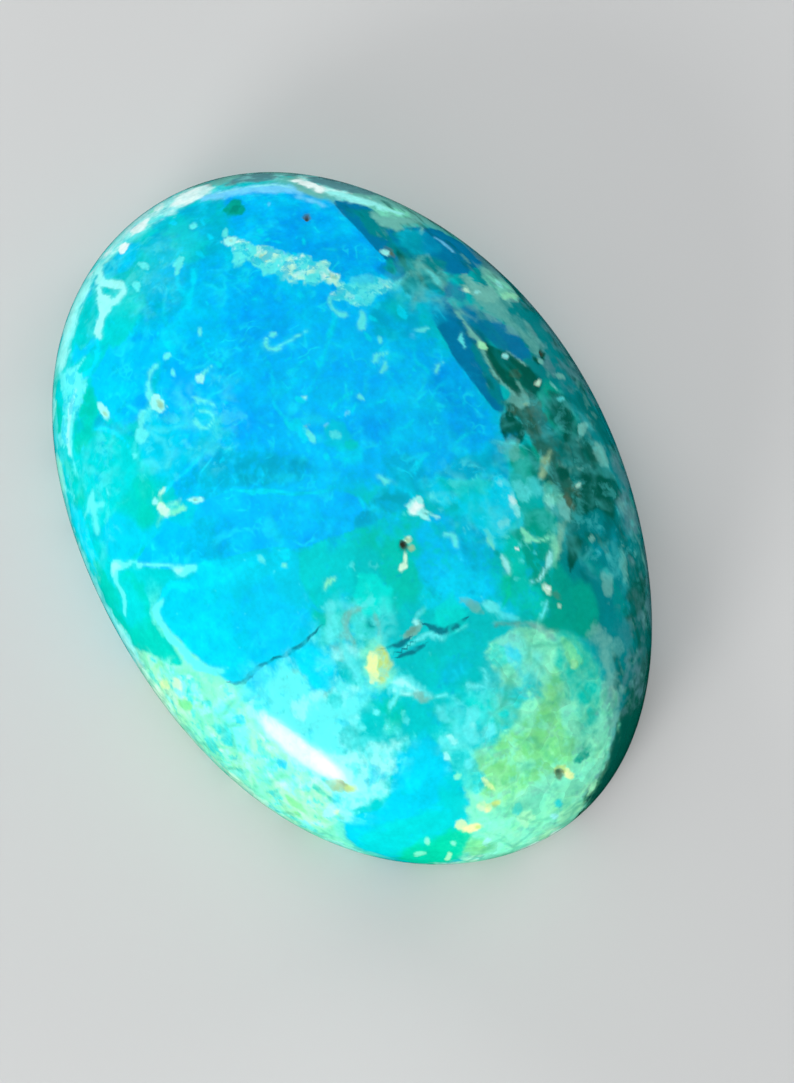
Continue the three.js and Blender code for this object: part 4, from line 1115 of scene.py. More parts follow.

# ------------------------------------------------------------------------------- spots
# A spot is (mineral, u, v, half length, half width, turn in degrees), then how strong it is if
# that isn't 1.
# Some spots are painted light: the slate and dark spots on the top side and the right wall are partly
# painted shade, and white and milk spots on the rims and round the highlight are partly painted
# reflection.
SPOTS = [
    # broad soft ones first
    ("sea", 11.4, 3.4, 1.5, 0.7, -5, 0.55), ("aqua", 12.4, -1.95, 1.1, 0.5, 5, 0.55),
    ("aqua", 10.9, 0.2, 0.9, 0.7, 0, 0.5), ("ice", 9.6, 1.7, 1.1, 0.8, 20, 0.45),
    # the milk spot at u 9.9 is partly a painted reflection, the haze round the highlight
    ("lagoon", 9.1, -4.2, 0.55, 0.5, 0, 0.7), ("milk", 9.9, -6.4, 1.8, 0.5, 15, 0.65),
    ("ice", 6.6, -9.1, 1.3, 0.6, 5, 0.55), ("spring", 5.1, -1.9, 0.8, 0.5, 0, 0.7),
    # the milk spots on the lower left rim are partly painted reflection
    ("milk", -12, -7.7, 1.3, 0.8, -50, 0.6), ("milk", -13.5, -6, 0.9, 0.6, -60, 0.5),
    ("teal", -12, -2.1, 0.8, 0.5, 0, 0.4), ("milk", -11, -8, 0.5, 0.4, 0, 0.5),
    ("bottle", 4.5, 8, 2.4, 0.8, -8, 0.4), ("bottle", 6.5, 7.4, 0.9, 1.2, 0, 0.3),
    ("bottle", 2.1, 8.6, 0.9, 0.6, 0, 0.4), ("slate", -4.1, 7, 0.7, 0.5, 0, 0.4),
    ("petrol", -4.2, 7, 0.6, 0.4, 0, 0.4), ("teal", -7, 7.2, 0.8, 0.9, 0, 0.35),
    ("aqua", -1.25, -6.3, 0.7, 0.8, 0, 0.6), ("teal", 0.3, -5.9, 0.9, 0.9, 0, 0.45),
    ("lime", 16.2, -3.1, 0.9, 0.6, 0, 0.55), ("lime", 15.8, 0.2, 0.9, 1.4, 0, 0.25),
    ("milk", -1.5, -12.1, 2.2, 0.4, 0, 0.4), ("cream", 3.6, -12, 1.6, 0.4, 5, 0.5),
    ("cream", 9.4, -10.9, 1.6, 0.4, 15, 0.5), ("glint", -5.8, 3.8, 0.9, 0.8, 20, 0.4),
    ("sky", -3.1, 4, 0.8, 0.7, 0, 0.5), ("glint", 4.5, 2.9, 1.3, 0.5, 10, 0.5),
    # painted shade: the bottle spot at u 15.4 darkens the shaded right wall
    ("glint", 3, 2.1, 0.6, 0.4, 0, 0.5), ("bottle", 15.4, 4.3, 1.1, 0.5, -30, 0.5),
    ("slate", 13, 6.9, 1.2, 0.5, -35, 0.3), ("slate", -12.3, 6, 1.9, 0.8, 40, 0.75),
    ("slate", -14.1, 2.9, 1.2, 0.5, 60, 0.5), ("milk", -13.2, -6.1, 0.9, 0.5, -55, 0.5),
    ("glint", -4, -11.1, 1.8, 0.5, 0, 0.6), ("lagoon", 9.1, -5, 0.5, 0.4, 0, 0.5),
    ("glint", 6.2, -4.9, 0.7, 0.5, 0, 0.7), ("spring", 7, 0.2, 0.6, 0.6, 0, 0.6),
    ("spring", 10.6, 0, 0.8, 0.7, 0, 0.55), ("spring", 9.2, 1, 0.5, 0.3, 0, 0.5),
    ("bottle", 6.7, 6.1, 0.9, 0.5, -20, 0.4), ("petrol", -6, 5.2, 0.5, 0.4, 0, 0.5),
    # the cream spot at u 10.2 by the highlight's end is partly a painted reflection
    ("ice", -5.6, 3.7, 0.5, 0.6, 0, 0.45), ("cream", 10.2, -7.1, 0.7, 0.3, 15, 0.5),
    ("mint", 18.1, -0.8, 0.5, 1.4, 0, 0.5), ("butter", 4.1, -11, 0.7, 0.3, 5, 0.4),
    ("ice", -9, -10, 0.8, 0.4, -15, 0.5), ("milk", -6.8, -11, 1, 0.4, -10, 0.5),
    ("butter", 14.5, -3.2, 0.3, 0.24, -20, 0.6), ("glint", 0.1, 0, 0.5, 0.4, 0, 0.6),
    ("azure", -5.1, -4.3, 0.45, 0.5, 0, 0.8), ("bottle", 5.6, 8, 0.7, 0.9, 0, 0.6),
    ("jade", 5.5, 4.85, 0.45, 0.5, 20, 0.8), ("ocean", 6.4, 6.9, 0.4, 0.8, 0, 0.6),
    ("sea", -11, -9, 0.9, 0.5, -30, 0.4), ("sage", -15, 2, 0.6, 0.8, 20, 0.6),
    ("milk", -14, -6, 0.6, 0.5, 0, 0.4), ("pistachio", 17, 1, 0.7, 0.7, 0, 0.5),
    ("mint", 10, 1, 0.5, 0.4, 0, 0.5), ("slate", -6, 10, 0.8, 0.5, 10, 0.6),
    ("sage", -5, 10, 0.5, 0.4, 0, 0.4), ("ocean", -2, 10, 0.7, 0.5, 0, 0.7),
    ("slate", 0, 9, 0.6, 0.4, 0, 0.5), ("bottle", 2, 8.1, 0.6, 0.5, 0, 0.4),
    ("jade", 4, 5, 0.5, 0.4, 0, 0.35), ("smoke", 6, 6, 0.5, 0.4, 0, 0.4),
    ("bottle", 10, 8, 0.9, 0.6, -20, 0.45), ("ocean", 11, 6, 0.7, 0.5, -20, 0.5),
    # painted shade: the bottle spot at u 17 darkens the shaded right wall
    ("bottle", 17, 3.9, 1.1, 0.7, -45, 0.7), ("milk", 0.9, -12, 0.9, 0.35, 0, 0.6),
    # the white spot at u 18.5 on the right rim is partly a painted reflection
    ("cream", 4, -12.4, 1.2, 0.4, 5, 0.5), ("white", 18.5, -0.6, 0.3, 1.2, 0, 0.7),
    ("milk", 14, -8.6, 1.2, 0.35, 30, 0.5), ("lime", 16, -3, 0.5, 0.4, 0, 0.4),
    ("butter", 14.1, -2.1, 0.3, 0.2, 0, 0.5), ("ice", -10.85, 0.42, 0.28, 0.12, -30),
    ("milk", -10.3, 0.35, 0.24, 0.26, 0), ("sand", -10.28, 0.4, 0.1, 0.1, 0, 0.5),
    ("sand", -8.75, 1.15, 0.26, 0.2, 30, 0.8), ("cream", -8.75, 1.15, 0.34, 0.28, 30, 0.4),
    ("sand", -6.6, 2.95, 0.25, 0.1, 20, 0.5), ("ice", -12.15, -0.5, 0.24, 0.14, -25),
    ("ice", -10.55, -1.8, 0.33, 0.2, -20), ("ice", -10.2, -2.05, 0.16, 0.12, -40),
    ("ice", -11.6, -3, 0.33, 0.13, 20), ("ice", -10.85, -3.65, 0.3, 0.14, -5),
    ("glint", -12, -0.1, 0.3, 0.1, 0, 0.7), ("glint", -13, -1.1, 0.25, 0.12, 20, 0.7),
    ("glint", -11, -0.2, 0.2, 0.1, 0, 0.7), ("glint", -10.4, -0.9, 0.25, 0.1, 10, 0.7),
    ("jade", -12.1, 1.4, 0.62, 0.36, -35, 0.9), ("bottle", -12, 1.35, 0.4, 0.2, -35, 0.4),
    # the white spots on the left rim are partly painted reflection
    ("white", -14.5, 0.35, 0.75, 0.8, 0, 0.6), ("white", -13.7, -3.3, 0.35, 0.3, 0, 0.9),
    ("white", -14.5, -2.2, 0.5, 0.5, 0, 0.7), ("frost", -11.4, 2.6, 0.2, 0.07, -30, 0.6),
    ("glint", -10.1, 1.6, 0.16, 0.1, 0), ("glint", -9.5, 1.65, 0.1, 0.14, 0),
    ("glint", -8.7, 2.8, 0.18, 0.08, -20), ("sky", -10.7, 2.1, 0.2, 0.06, -50),
    ("glint", -8.3, 2.2, 0.12, 0.06, 0), ("glint", -9.9, 1.3, 0.3, 0.08, 30, 0.7),
    ("glint", -9.2, 1.9, 0.25, 0.08, 45, 0.7), ("ice", -5.42, -0.18, 0.1, 0.15, 0),
    ("milk", -2.52, -0.52, 0.09, 0.15, 10, 0.8), ("glint", -2.6, -0.65, 0.25, 0.12, 30),
    ("glint", -3.84, 0.1, 0.06, 0.26, 5), ("ice", -4, 2.82, 0.11, 0.14, -20),
    ("glint", -3.6, 2.8, 0.25, 0.09, 0), ("ice", -3.25, 3.1, 0.15, 0.07, -25),
    ("glint", -1.06, 1.9, 0.06, 0.2, 0, 0.9), ("ice", -1.55, 1.35, 0.16, 0.09, 35),
    ("frost", -1.25, 0.6, 0.07, 0.14, 15, 0.8), ("frost", -1.2, -0.3, 0.11, 0.14, 30, 0.8),
    ("aqua", -0.5, -0.1, 0.62, 0.5, 0, 0.6), ("ice", -0.75, -0.2, 0.25, 0.2, 0, 0.6),
    ("sea", -0.1, 0.1, 0.25, 0.2, 0, 0.5), ("glint", -1.5, -1.2, 0.7, 0.2, 5, 0.8),
    ("ice", -1.1, -0.95, 0.3, 0.13, 5), ("sand", -1.55, -0.9, 0.07, 0.14, 0, 0.5),
    ("glint", -2, -1.45, 0.3, 0.1, 3), ("glint", -0.1, -0.85, 0.18, 0.12, 0, 0.8),
    ("glint", -6.35, 1.5, 0.2, 0.1, 20, 0.4), ("sky", -6.9, -1.1, 0.15, 0.12, 0, 0.8),
    ("ice", -7.08, -2.5, 0.2, 0.07, -22), ("glint", -5.42, -2.48, 0.14, 0.1, 0),
    ("milk", -5.38, -3.38, 0.2, 0.15, 30), ("glint", -8.1, -1.7, 0.15, 0.06, -10),
    ("ice", -6.95, -4, 0.12, 0.15, 10), ("ice", -6.2, -4.12, 0.18, 0.09, -15),
    ("glint", -7.4, -3.8, 0.25, 0.08, 0), ("milk", -5.4, -5.2, 0.4, 0.22, -5),
    ("sand", -5.4, -5.14, 0.22, 0.1, 0, 0.8), ("ice", -4.8, -6.4, 0.28, 0.28, 0, 0.8),
    ("ice", -4.35, -6.95, 0.13, 0.1, 0, 0.7), ("glint", -4.9, -5.7, 0.5, 0.4, 0, 0.4),
    ("milk", -6.85, -7.23, 0.44, 0.15, 6, 0.9), ("sand", -6.65, -7.2, 0.24, 0.09, 6, 0.6),
    ("ice", -4, -8.68, 0.17, 0.09, 0, 0.8), ("glint", -4, 4.5, 0.3, 0.16, 0, 0.8),
    ("glint", -4.2, 3.35, 0.25, 0.1, 20, 0.8), ("glint", -0.2, 4.3, 0.08, 0.3, -10, 0.4),
    ("cream", -1.85, -6.95, 0.36, 0.2, 20, 0.7), ("cream", -2.42, -6.7, 0.1, 0.2, 15, 0.6),
    ("mint", -1.42, -6.5, 0.12, 0.32, -15, 0.7), ("milk", -2.3, -7.1, 0.14, 0.1, 0, 0.7),
    ("milk", -1.35, -5.68, 0.3, 0.1, 55), ("umber", -1.36, -5.68, 0.14, 0.06, 52, 0.6),
    ("sea", -2, -7.7, 0.55, 0.4, 0, 0.6), ("sea", -3, -7.3, 0.5, 0.4, 0, 0.5),
    ("ice", 1.9, -4.68, 0.18, 0.1, 0, 0.8), ("mint", 2.5, -4.1, 0.1, 0.09, 0, 0.6),
    ("glint", 2.2, -3.9, 0.2, 0.2, 0, 0.7), ("milk", 3.05, 1, 0.3, 0.38, 20),
    ("white", 3.05, 1, 0.2, 0.26, 20, 0.8), ("milk", 3.5, 1.37, 0.26, 0.07, 38),
    ("milk", 3.45, 1.08, 0.2, 0.09, 30), ("umber", 3.38, 1.2, 0.12, 0.05, 25, 0.6),
    ("milk", 2.85, 1.28, 0.12, 0.1, 0), ("glint", 2, -0.6, 0.26, 0.08, -5, 0.9),
    ("sand", 3.9, 0.2, 0.17, 0.14, -20, 0.9), ("cream", 3.86, 0.26, 0.12, 0.1, 0, 0.6),
    ("sand", 4.25, 0.1, 0.12, 0.14, 0, 0.8), ("cream", 4.45, -0.22, 0.2, 0.06, -30),
    ("cream", 4.7, -0.45, 0.11, 0.17, 25), ("umber", -6.9, 5.55, 0.3, 0.26, 0, 0.5),
    ("milk", -6.85, 5.4, 0.2, 0.16, 20, 0.7), ("umber", -6.75, 5.62, 0.12, 0.1, 0, 0.6),
    ("bottle", -6.35, 5.85, 0.45, 0.13, -5, 0.6), ("jade", -6.1, 5.2, 0.4, 0.26, 0, 0.6),
    ("bottle", -6, 5.15, 0.25, 0.14, 0, 0.4), ("pistachio", -3.7, 9.6, 0.22, 0.5, 15, 0.5),
    ("milk", -4.4, 9.5, 0.35, 0.2, -20, 0.5), ("cream", -4.15, 7.5, 0.18, 0.28, 20, 0.6),
    ("milk", -3.95, 7.9, 0.12, 0.3, 10, 0.5), ("pistachio", -1.57, 6.6, 0.2, 0.18, 0, 0.8),
    ("milk", -0.85, 7.3, 0.14, 0.18, 0, 0.7), ("bottle", -0.55, 9.1, 0.3, 0.13, -30),
    ("bottle", -0.3, 8.6, 0.2, 0.14, 0, 0.8), ("ice", 1.48, 8.68, 0.12, 0.22, 0, 0.6),
    ("cream", 0.62, 7.95, 0.12, 0.24, 20, 0.7), ("sage", -0.3, 8.75, 0.2, 0.12, 0),
    ("milk", 0.9, 8.65, 0.25, 0.1, 25, 0.5), ("sage", 1, 6.7, 0.35, 0.4, 0, 0.6),
    ("sage", 0.5, 7.1, 0.3, 0.1, 0, 0.6), ("sand", 1.25, 6.9, 0.1, 0.18, 0, 0.5),
    ("sage", 0.5, 9.3, 0.14, 0.3, -15, 0.7), ("umber", 0, 7.3, 0.2, 0.3, 0, 0.3),
    ("sage", 2.9, 8.8, 0.25, 0.14, -50), ("sage", 4.2, 9.2, 0.5, 0.35, -20, 0.5),
    ("bottle", 3.2, 8, 0.3, 0.24, 0, 0.9), ("bottle", 4, 8, 0.34, 0.26, 0, 0.9),
    ("bottle", 4.3, 6.75, 0.38, 0.3, 0, 0.8), ("milk", 5, 5.7, 0.26, 0.2, -15, 0.6),
    ("sage", 5.5, 6.1, 0.45, 0.2, 0, 0.8), ("mint", 4.8, 5.9, 0.5, 0.35, 0, 0.35),
    ("cream", 4.92, 7.25, 0.1, 0.18, 20, 0.6), ("ice", 4.3, 5.4, 0.4, 0.3, 0, 0.5),
    ("ice", 4.2, 4.85, 0.45, 0.25, 0, 0.6), ("milk", 4.6, 4.3, 0.4, 0.16, -10, 0.6),
    ("milk", 5, 3.6, 0.16, 0.35, 0, 0.5), ("white", 4.4, 4.35, 0.2, 0.1, 0, 0.5),
    ("milk", 3.6, 4.25, 0.2, 0.12, -30, 0.5), ("white", 6.06, 3.54, 0.08, 0.08, 0),
    ("cream", 7.92, 3.85, 0.24, 0.16, -10, 0.7), ("umber", 8.2, 4.06, 0.24, 0.12, 20, 0.4),
    ("cream", 8.65, 4, 0.1, 0.1, 0, 0.6), ("white", 7.85, 3.9, 0.1, 0.08, 0, 0.5),
    ("sage", 7, 6.6, 0.16, 0.14, 0, 0.7), ("sage", 8.9, 6.3, 0.5, 0.35, -20, 0.6),
    ("sage", 8.6, 7.6, 0.7, 0.25, -30, 0.5), ("sage", 11.3, 5.6, 0.5, 0.35, 0, 0.4),
    ("pistachio", 10.8, 3.5, 0.14, 0.15, 0), ("lime", 10.4, 3.6, 0.6, 0.3, 0, 0.5),
    ("umber", 7.1, 1.05, 0.42, 0.16, 28, 0.4), ("sage", 7.1, 1.05, 0.46, 0.2, 28, 0.5),
    ("ice", 7.4, 1.6, 0.35, 0.16, 35, 0.7), ("sage", 6.85, -1.25, 0.16, 0.42, 10),
    ("umber", 6.85, -1.3, 0.1, 0.3, 10, 0.45), ("milk", 6.62, -1.05, 0.12, 0.12, 0, 0.8),
    ("ice", 7.35, -0.75, 0.16, 0.1, -10, 0.7), ("ice", 6.45, -0.8, 0.12, 0.3, 20, 0.5),
    ("milk", 11.05, -1.9, 0.26, 0.16, 25), ("ice", 10.85, -2.3, 0.16, 0.13, -20),
    ("milk", 11.5, -2.38, 0.18, 0.12, -10), ("mint", 12.35, -2.4, 0.12, 0.12, 0),
    ("ice", 11, -1.15, 0.5, 0.3, 0, 0.7), ("ice", 10.65, -0.85, 0.28, 0.3, 0, 0.7),
    ("ice", 11.4, -0.55, 0.28, 0.3, 0, 0.7), ("milk", 10.9, -1, 0.2, 0.12, 0, 0.6),
    ("ice", 12.2, -1.75, 0.2, 0.25, -20, 0.7), ("gold", 14.25, -1.6, 0.2, 0.32, 0, 0.8),
    ("butter", 14.3, -1.9, 0.2, 0.2, 0, 0.7), ("butter", 13.3, -1.5, 0.5, 0.1, 15, 0.6),
    ("butter", 14.85, -2.85, 0.3, 0.42, -25), ("gold", 14.95, -2.65, 0.15, 0.25, -25, 0.7),
    ("lime", 13, -1, 0.5, 0.3, 30, 0.5), ("mint", 14.6, -4.7, 0.22, 0.1, -20, 0.9),
    ("mint", 15.4, -5.4, 0.22, 0.28, 0, 0.7), ("mint", 15.3, -3.85, 0.2, 0.08, 0, 0.8),
    ("pistachio", 16.3, -4.4, 0.4, 0.12, -25, 0.8), ("jade", 14.45, 2.3, 0.22, 0.34, 10, 0.75),
    ("jade", 14.1, 2.7, 0.25, 0.25, 0, 0.4), ("butter", 14.75, 1.52, 0.3, 0.18, 25, 0.9),
    ("gold", 14.35, 1.25, 0.3, 0.22, 10, 0.7), ("umber", 14.5, 1.15, 0.3, 0.2, 15, 0.7),
    ("umber", -9.95, 3.55, 0.27, 0.15, -22, 0.6), ("pistachio", 15.8, -0.8, 0.42, 0.34, -10, 0.9),
    ("milk", 16.6, 0.4, 0.28, 0.2, 10, 0.8), ("aqua", 16, 0.7, 0.35, 0.15, 10, 0.7),
    ("aqua", 15, -0.9, 0.3, 0.22, 0, 0.5), ("pistachio", 16.4, 2.4, 0.4, 0.2, -30, 0.7),
    # the pistachio spot at u 18.1 on the right rim is partly a painted reflection
    ("pistachio", 18.1, -0.3, 0.6, 0.28, 0, 0.7), ("milk", 16, -2.6, 0.4, 0.16, -15, 0.6),
    ("mint", 7.25, -3.05, 0.9, 0.55, -30, 0.5), ("gold", 7.42, -2.92, 0.66, 0.4, -30, 0.8),
    ("butter", 7.28, -3.12, 0.52, 0.22, -32), ("ice", 8.75, -3.85, 0.1, 0.1, 0),
    ("ice", 9, -4.6, 0.1, 0.16, 0, 0.7), ("ice", 7.3, -4.5, 0.22, 0.18, 0, 0.6),
    ("lagoon", 7, -4.1, 0.5, 0.2, 0, 0.6), ("lagoon", 7.6, -4.9, 0.3, 0.25, 0, 0.5),
    ("sand", 10.6, -6.45, 0.62, 0.26, 40), ("gold", 10.9, -6.1, 0.3, 0.2, 40, 0.5),
    ("umber", 10.55, -6.3, 0.3, 0.1, 35, 0.5), ("sea", 10.5, -7.3, 0.45, 0.12, 15, 0.6),
    ("aqua", 6.4, -7.6, 0.16, 0.13, 0, 0.8), ("aqua", 5.9, -7.85, 0.13, 0.13, 0, 0.8),
    ("cyan", 6.45, -8.55, 0.22, 0.2, 0, 0.9), ("cyan", 8.75, -8, 0.24, 0.2, 20, 0.8),
    ("aqua", 6.8, -9.5, 0.5, 0.3, 0, 0.5), ("aqua", 6.8, -10.7, 0.6, 0.35, 0, 0.6),
    ("lime", 10.8, -8.65, 0.6, 0.25, 10, 0.6), ("lime", 11.3, -9, 0.3, 0.16, 0, 0.6),
    ("lime", 4.8, -10.6, 0.25, 0.5, -10, 0.7), ("butter", 4, -10.3, 0.5, 0.25, 10, 0.5),
    ("butter", 3.55, -11.1, 0.2, 0.4, -15, 0.5), ("milk", 11.5, -7.5, 0.2, 0.35, 30, 0.7),
    ("butter", 11.6, -7.2, 0.12, 0.2, 30, 0.5),
]
for mineral, u, v, long, wide, turn, *strength in SPOTS:
    lay(mineral, spot(u, v, long, wide, turn), *strength)

# -------------------------------------------------- cracks and pits, which go into the stone
# A crack is stops of u, v and half the width.
CRACKS = [
    [
        (5.1, -4.1, 0.03), (5.2, -4.8, 0.07), (5.32, -5.5, 0.08), (5.22, -6.1, 0.06), (5.25, -6.9, 0.08),
        (5.3, -7.5, 0.07), (5.05, -8.1, 0.04),
    ],
    [(7.38, 0.6, 0.04), (7.4, 0.2, 0.12), (7.36, -0.2, 0.15), (7.15, -0.5, 0.12), (6.85, -0.8, 0.06)],
    [(6.95, -1.6, 0.06), (6.98, -2, 0.1), (6.9, -2.4, 0.05)],
    [(7.45, -1.2, 0.05), (7.42, -1.7, 0.1), (7.38, -2.15, 0.06)],
]
# A pit is u, v, half length, half width, turn, depth and how dark it is.
PITS = [
    (4.05, -0.05, 0.17, 0.14, 0, 0.2, 0.9),
    (-9.95, 3.55, 0.22, 0.1, -22, 0.13, 0.7),
    (-0.65, 9.15, 0.2, 0.1, -35, 0.12, 0.7),
    (14.5, 1.18, 0.2, 0.12, 15, 0.15, 0.55),
]
CRACK_WIDTH = 0.08  # half the width that a crack's distances are scaled to
CRACK_REACH = 0.6
CRACK_WANDER = 0.12
CRACK_FADE = (0.2, 0.05)  # past its width, where a crack's cover has gone and starts to go
PIT_SOFT, PIT_ROUGH = 0.06, 0.2

depth = np.zeros(len(points))
crack_side = np.full(len(points), 1.0)  # distance from a crack's middle, less than 0 on one side
crack_cover = np.zeros(len(points))
for stops in CRACKS:
    route = curve_through(stops, closed=False)
    found = near(route, CRACK_REACH)
    places = skin[found] + CRACK_WANDER * np.stack([ragged[found], frayed[found]], axis=1)
    nearest = np.full(len(found), FAR)
    side = np.zeros(len(found))
    for start, end in zip(route, route[1:]):
        distance, t = to_segment(places, start[:2], end[:2])
        along, across = (end - start)[:2], places - start[:2]
        turned = np.sign(along[0] * across[:, 1] - along[1] * across[:, 0])
        width = start[2] + (end[2] - start[2]) * t
        side = np.where(distance < nearest, turned * distance * CRACK_WIDTH / width, side)
        amount = smooth(width + CRACK_FADE[0], width + CRACK_FADE[1], distance)
        crack_cover[found] = np.maximum(crack_cover[found], amount)
        nearest = np.minimum(nearest, distance)
    closer = np.abs(side) < np.abs(crack_side[found])
    crack_side[found[closer]] = side[closer]
for u, v, long, wide, turn, deep, dark in PITS:
    found, amount = spot(u, v, long, wide, turn, PIT_SOFT, PIT_ROUGH)
    lay("pit", (found, amount), dark)
    depth[found] = np.maximum(depth[found], amount * deep)

# ------------------------------------------------------------ bevel and back, sawn and plain
below = np.flatnonzero(~on_top)
back_cloud = cloud(points[below], 5.0, 71, 4)
back_grain = cloud(points[below], 1.2, 73, 3)
for mineral, low, high, field, strength in [
    ("teal", -0.1, 0.3, back_cloud, 0.9), ("sea", 0.2, 0.5, -back_cloud, 0.9),
    ("mint", 0.35, 0.6, back_grain, 0.7), ("petrol", 0.45, 0.7, back_cloud, 0.8),
    ("sage", 0.5, 0.8, -back_grain, 0.7),
]:
    lay(mineral, (below, smooth(low, high, field)), strength)

BEVEL_STEP = 2  # the bevel's rings lie about this many times as far apart as the dome's


def ring_points(ring, count):
    """The point of a ring of the dome that is nearest to each of count points all round."""
    first = 1 + RING_STEP * ring * (ring - 1) // 2
    return first + np.arange(count) * RING_STEP * ring // count


def carry_down(values):
    """Carries the colours above the girdle on over the bevel under it, as in a mirror."""
    girdle = ring_points(DOME_RINGS, RIM_COUNT)
    for n in range(1, BEVEL_RINGS + 1):
        above = ring_points(DOME_RINGS - BEVEL_STEP * n, RIM_COUNT)
        values[..., girdle + n * RIM_COUNT] = values[..., above]


# ------------------------------------------------------------------- the object and its data
CORE_HEIGHT = 1.0  # height above the back, in mm, of the point that the pits sink towards
core = np.array([MIDDLE[0], MIDDLE[1], STONE_LOW[2] + CORE_HEIGHT])
inward = core - points
inward /= np.linalg.norm(inward, axis=1)[:, None]
carved = (points + inward * depth[:, None]) * MM

stone_data = bpy.data.meshes.new("opal_cabochon")
stone_data.from_pydata(carved.tolist(), [], faces)
stone_data.polygons.foreach_set("use_smooth", np.ones(len(faces), bool))


def keep(name, values):
    """Keeps one number for each point of the stone, for the material to read."""
    held = stone_data.attributes.new(name, "FLOAT", "POINT")
    held.data.foreach_set("value", np.ascontiguousarray(values, np.float32))


BLUES = ("sapphire", "azure", "sky", "teal")
blue = np.clip(sum(shares[mineral_names.index(name)] for name in BLUES), 0, 1) * on_top
matrix = np.clip(zone_covers["matrix_right"] + zone_covers["matrix_low"], 0, 1)
for values in (shares, blue, matrix, net):
    carry_down(values)

# A mineral's share of what is there once it and those mixed before it are laid.
running = np.cumsum(shares, axis=0)
for index, name in enumerate(mineral_names[1:], start=1):
    keep(name, np.clip(shares[index] / np.maximum(running[index], TINY), 0, 1))
keep("wisps", blue)
keep("grain", matrix)
keep("net", net)
keep("vein", vein)
keep("sawn", (~on_top).astype(float))
keep("crack_side", crack_side)
keep("crack_cover", crack_cover)

stone = bpy.data.objects.new("opal_cabochon", stone_data)
bpy.context.scene.collection.objects.link(stone)
stone_data.update()

# ---------------------------------------------------------------------- the material's nodes
opal = bpy.data.materials.new("andean_opal")
opal.use_nodes = True
nodes, links = opal.node_tree.nodes, opal.node_tree.links
nodes.clear()
output = nodes.new("ShaderNodeOutputMaterial")
shader = nodes.new("ShaderNodeBsdfPrincipled")
links.new(shader.outputs["BSDF"], output.inputs["Surface"])
place = nodes.new("ShaderNodeTexCoord").outputs["Object"]


def linear(colour):
    """An sRGB colour in 0 to 255, as the linear values that a shader takes."""
    parts = [c / 255 for c in colour]
    return [c / 12.92 if c <= 0.04045 else ((c + 0.055) / 1.055) ** 2.4 for c in parts] + [1.0]


def plug(value, socket):
    """Sets a number or colour on a socket, or links another node's output to it."""
    if isinstance(value, (int, float, list)):
        socket.default_value = value
    else:
        links.new(value, socket)


def attribute(name):
    """A number that the mesh keeps for each point."""
    node = nodes.new("ShaderNodeAttribute")
    node.attribute_name = name
    return node.outputs["Fac"]


def arithmetic(operation, *values):
    """The result of one sum."""
    node = nodes.new("ShaderNodeMath")
    node.operation = operation
    for socket, value in zip(node.inputs, values):
        plug(value, socket)
    return node.outputs[0]


def between(value, low, high, low_to=0.0, high_to=1.0):
    """Goes smoothly from low_to to high_to as the value goes from low to high."""
    node = nodes.new("ShaderNodeMapRange")
    node.interpolation_type = "SMOOTHSTEP"
    links.new(value, node.inputs["Value"])
    node.inputs["From Min"].default_value = low
    node.inputs["From Max"].default_value = high
    node.inputs["To Min"].default_value = low_to
    node.inputs["To Max"].default_value = high_to
    return node.outputs["Result"]


def mix(factor, first, second):
    """Goes from the first colour to the second as the factor goes from 0 to 1."""
    node = nodes.new("ShaderNodeMix")
    node.data_type = "RGBA"
    plug(factor, node.inputs[0])
    plug(first, node.inputs[6])
    plug(second, node.inputs[7])
    return node.outputs[2]


def overlay(colour, factor, strength, tint):
    """Mixes a tint over a colour where a factor from 0 to 1 says."""
    return mix(arithmetic("MULTIPLY", factor, strength), colour, linear(tint))


def noise(size, detail, roughness=0.55, distortion=0.0):
    """Noise through the stone whose lumps are about size mm across, from 0 to 1."""
    node = nodes.new("ShaderNodeTexNoise")
    node.inputs["Scale"].default_value = 1 / (size * MM)
    node.inputs["Detail"].default_value = detail
    node.inputs["Roughness"].default_value = roughness
    node.inputs["Distortion"].default_value = distortion
    links.new(place, node.inputs["Vector"])
    return node.outputs["Fac"]


def swing(*settings):
    """Noise that goes both ways from 0."""
    return arithmetic("SUBTRACT", noise(*settings), 0.5)


def cells(size, bend, feature="DISTANCE_TO_EDGE"):
    """Cells about size mm across with bent walls: the distance from a wall, or each one's tone."""
    warp = nodes.new("ShaderNodeTexNoise")
    warp.inputs["Scale"].default_value = 1.3 / (size * MM)
    warp.inputs["Detail"].default_value = 1
    links.new(place, warp.inputs["Vector"])
    bent = nodes.new("ShaderNodeVectorMath")
    bent.operation = "MULTIPLY_ADD"
    links.new(warp.outputs["Color"], bent.inputs[0])
    bent.inputs[1].default_value = [bend * size * MM] * 3
    links.new(place, bent.inputs[2])
    node = nodes.new("ShaderNodeTexVoronoi")
    node.feature = feature
    node.inputs["Scale"].default_value = 1 / (size * MM)
    links.new(bent.outputs[0], node.inputs["Vector"])
    return node.outputs["Distance" if feature == "DISTANCE_TO_EDGE" else "Color"]


def fade(line, size, low, high):
    """Lets a line show only where noise about size mm across is high."""
    return arithmetic("MULTIPLY", line, between(noise(size, 3), low, high))


def walls(size, width, fade_size, fade_from, fade_to, bend=1.1):
    """Thin walls between cells about size mm across, which fade out in places."""
    return fade(between(cells(size, bend), width, 0.0), fade_size, fade_from, fade_to)


def curls(size, width, fade_size, fade_from, fade_to):
    """Thin curling wisps about size mm across, which fade out in places."""
    off = arithmetic("ABSOLUTE", swing(size, 2, 0.5, 0.5))
    return fade(between(off, width, 0.0), fade_size, fade_from, fade_to)


def blotches(size, low, high):
    """Ragged blotches about size mm across."""
    return between(noise(size, 4, 0.6, 0.4), low, high)


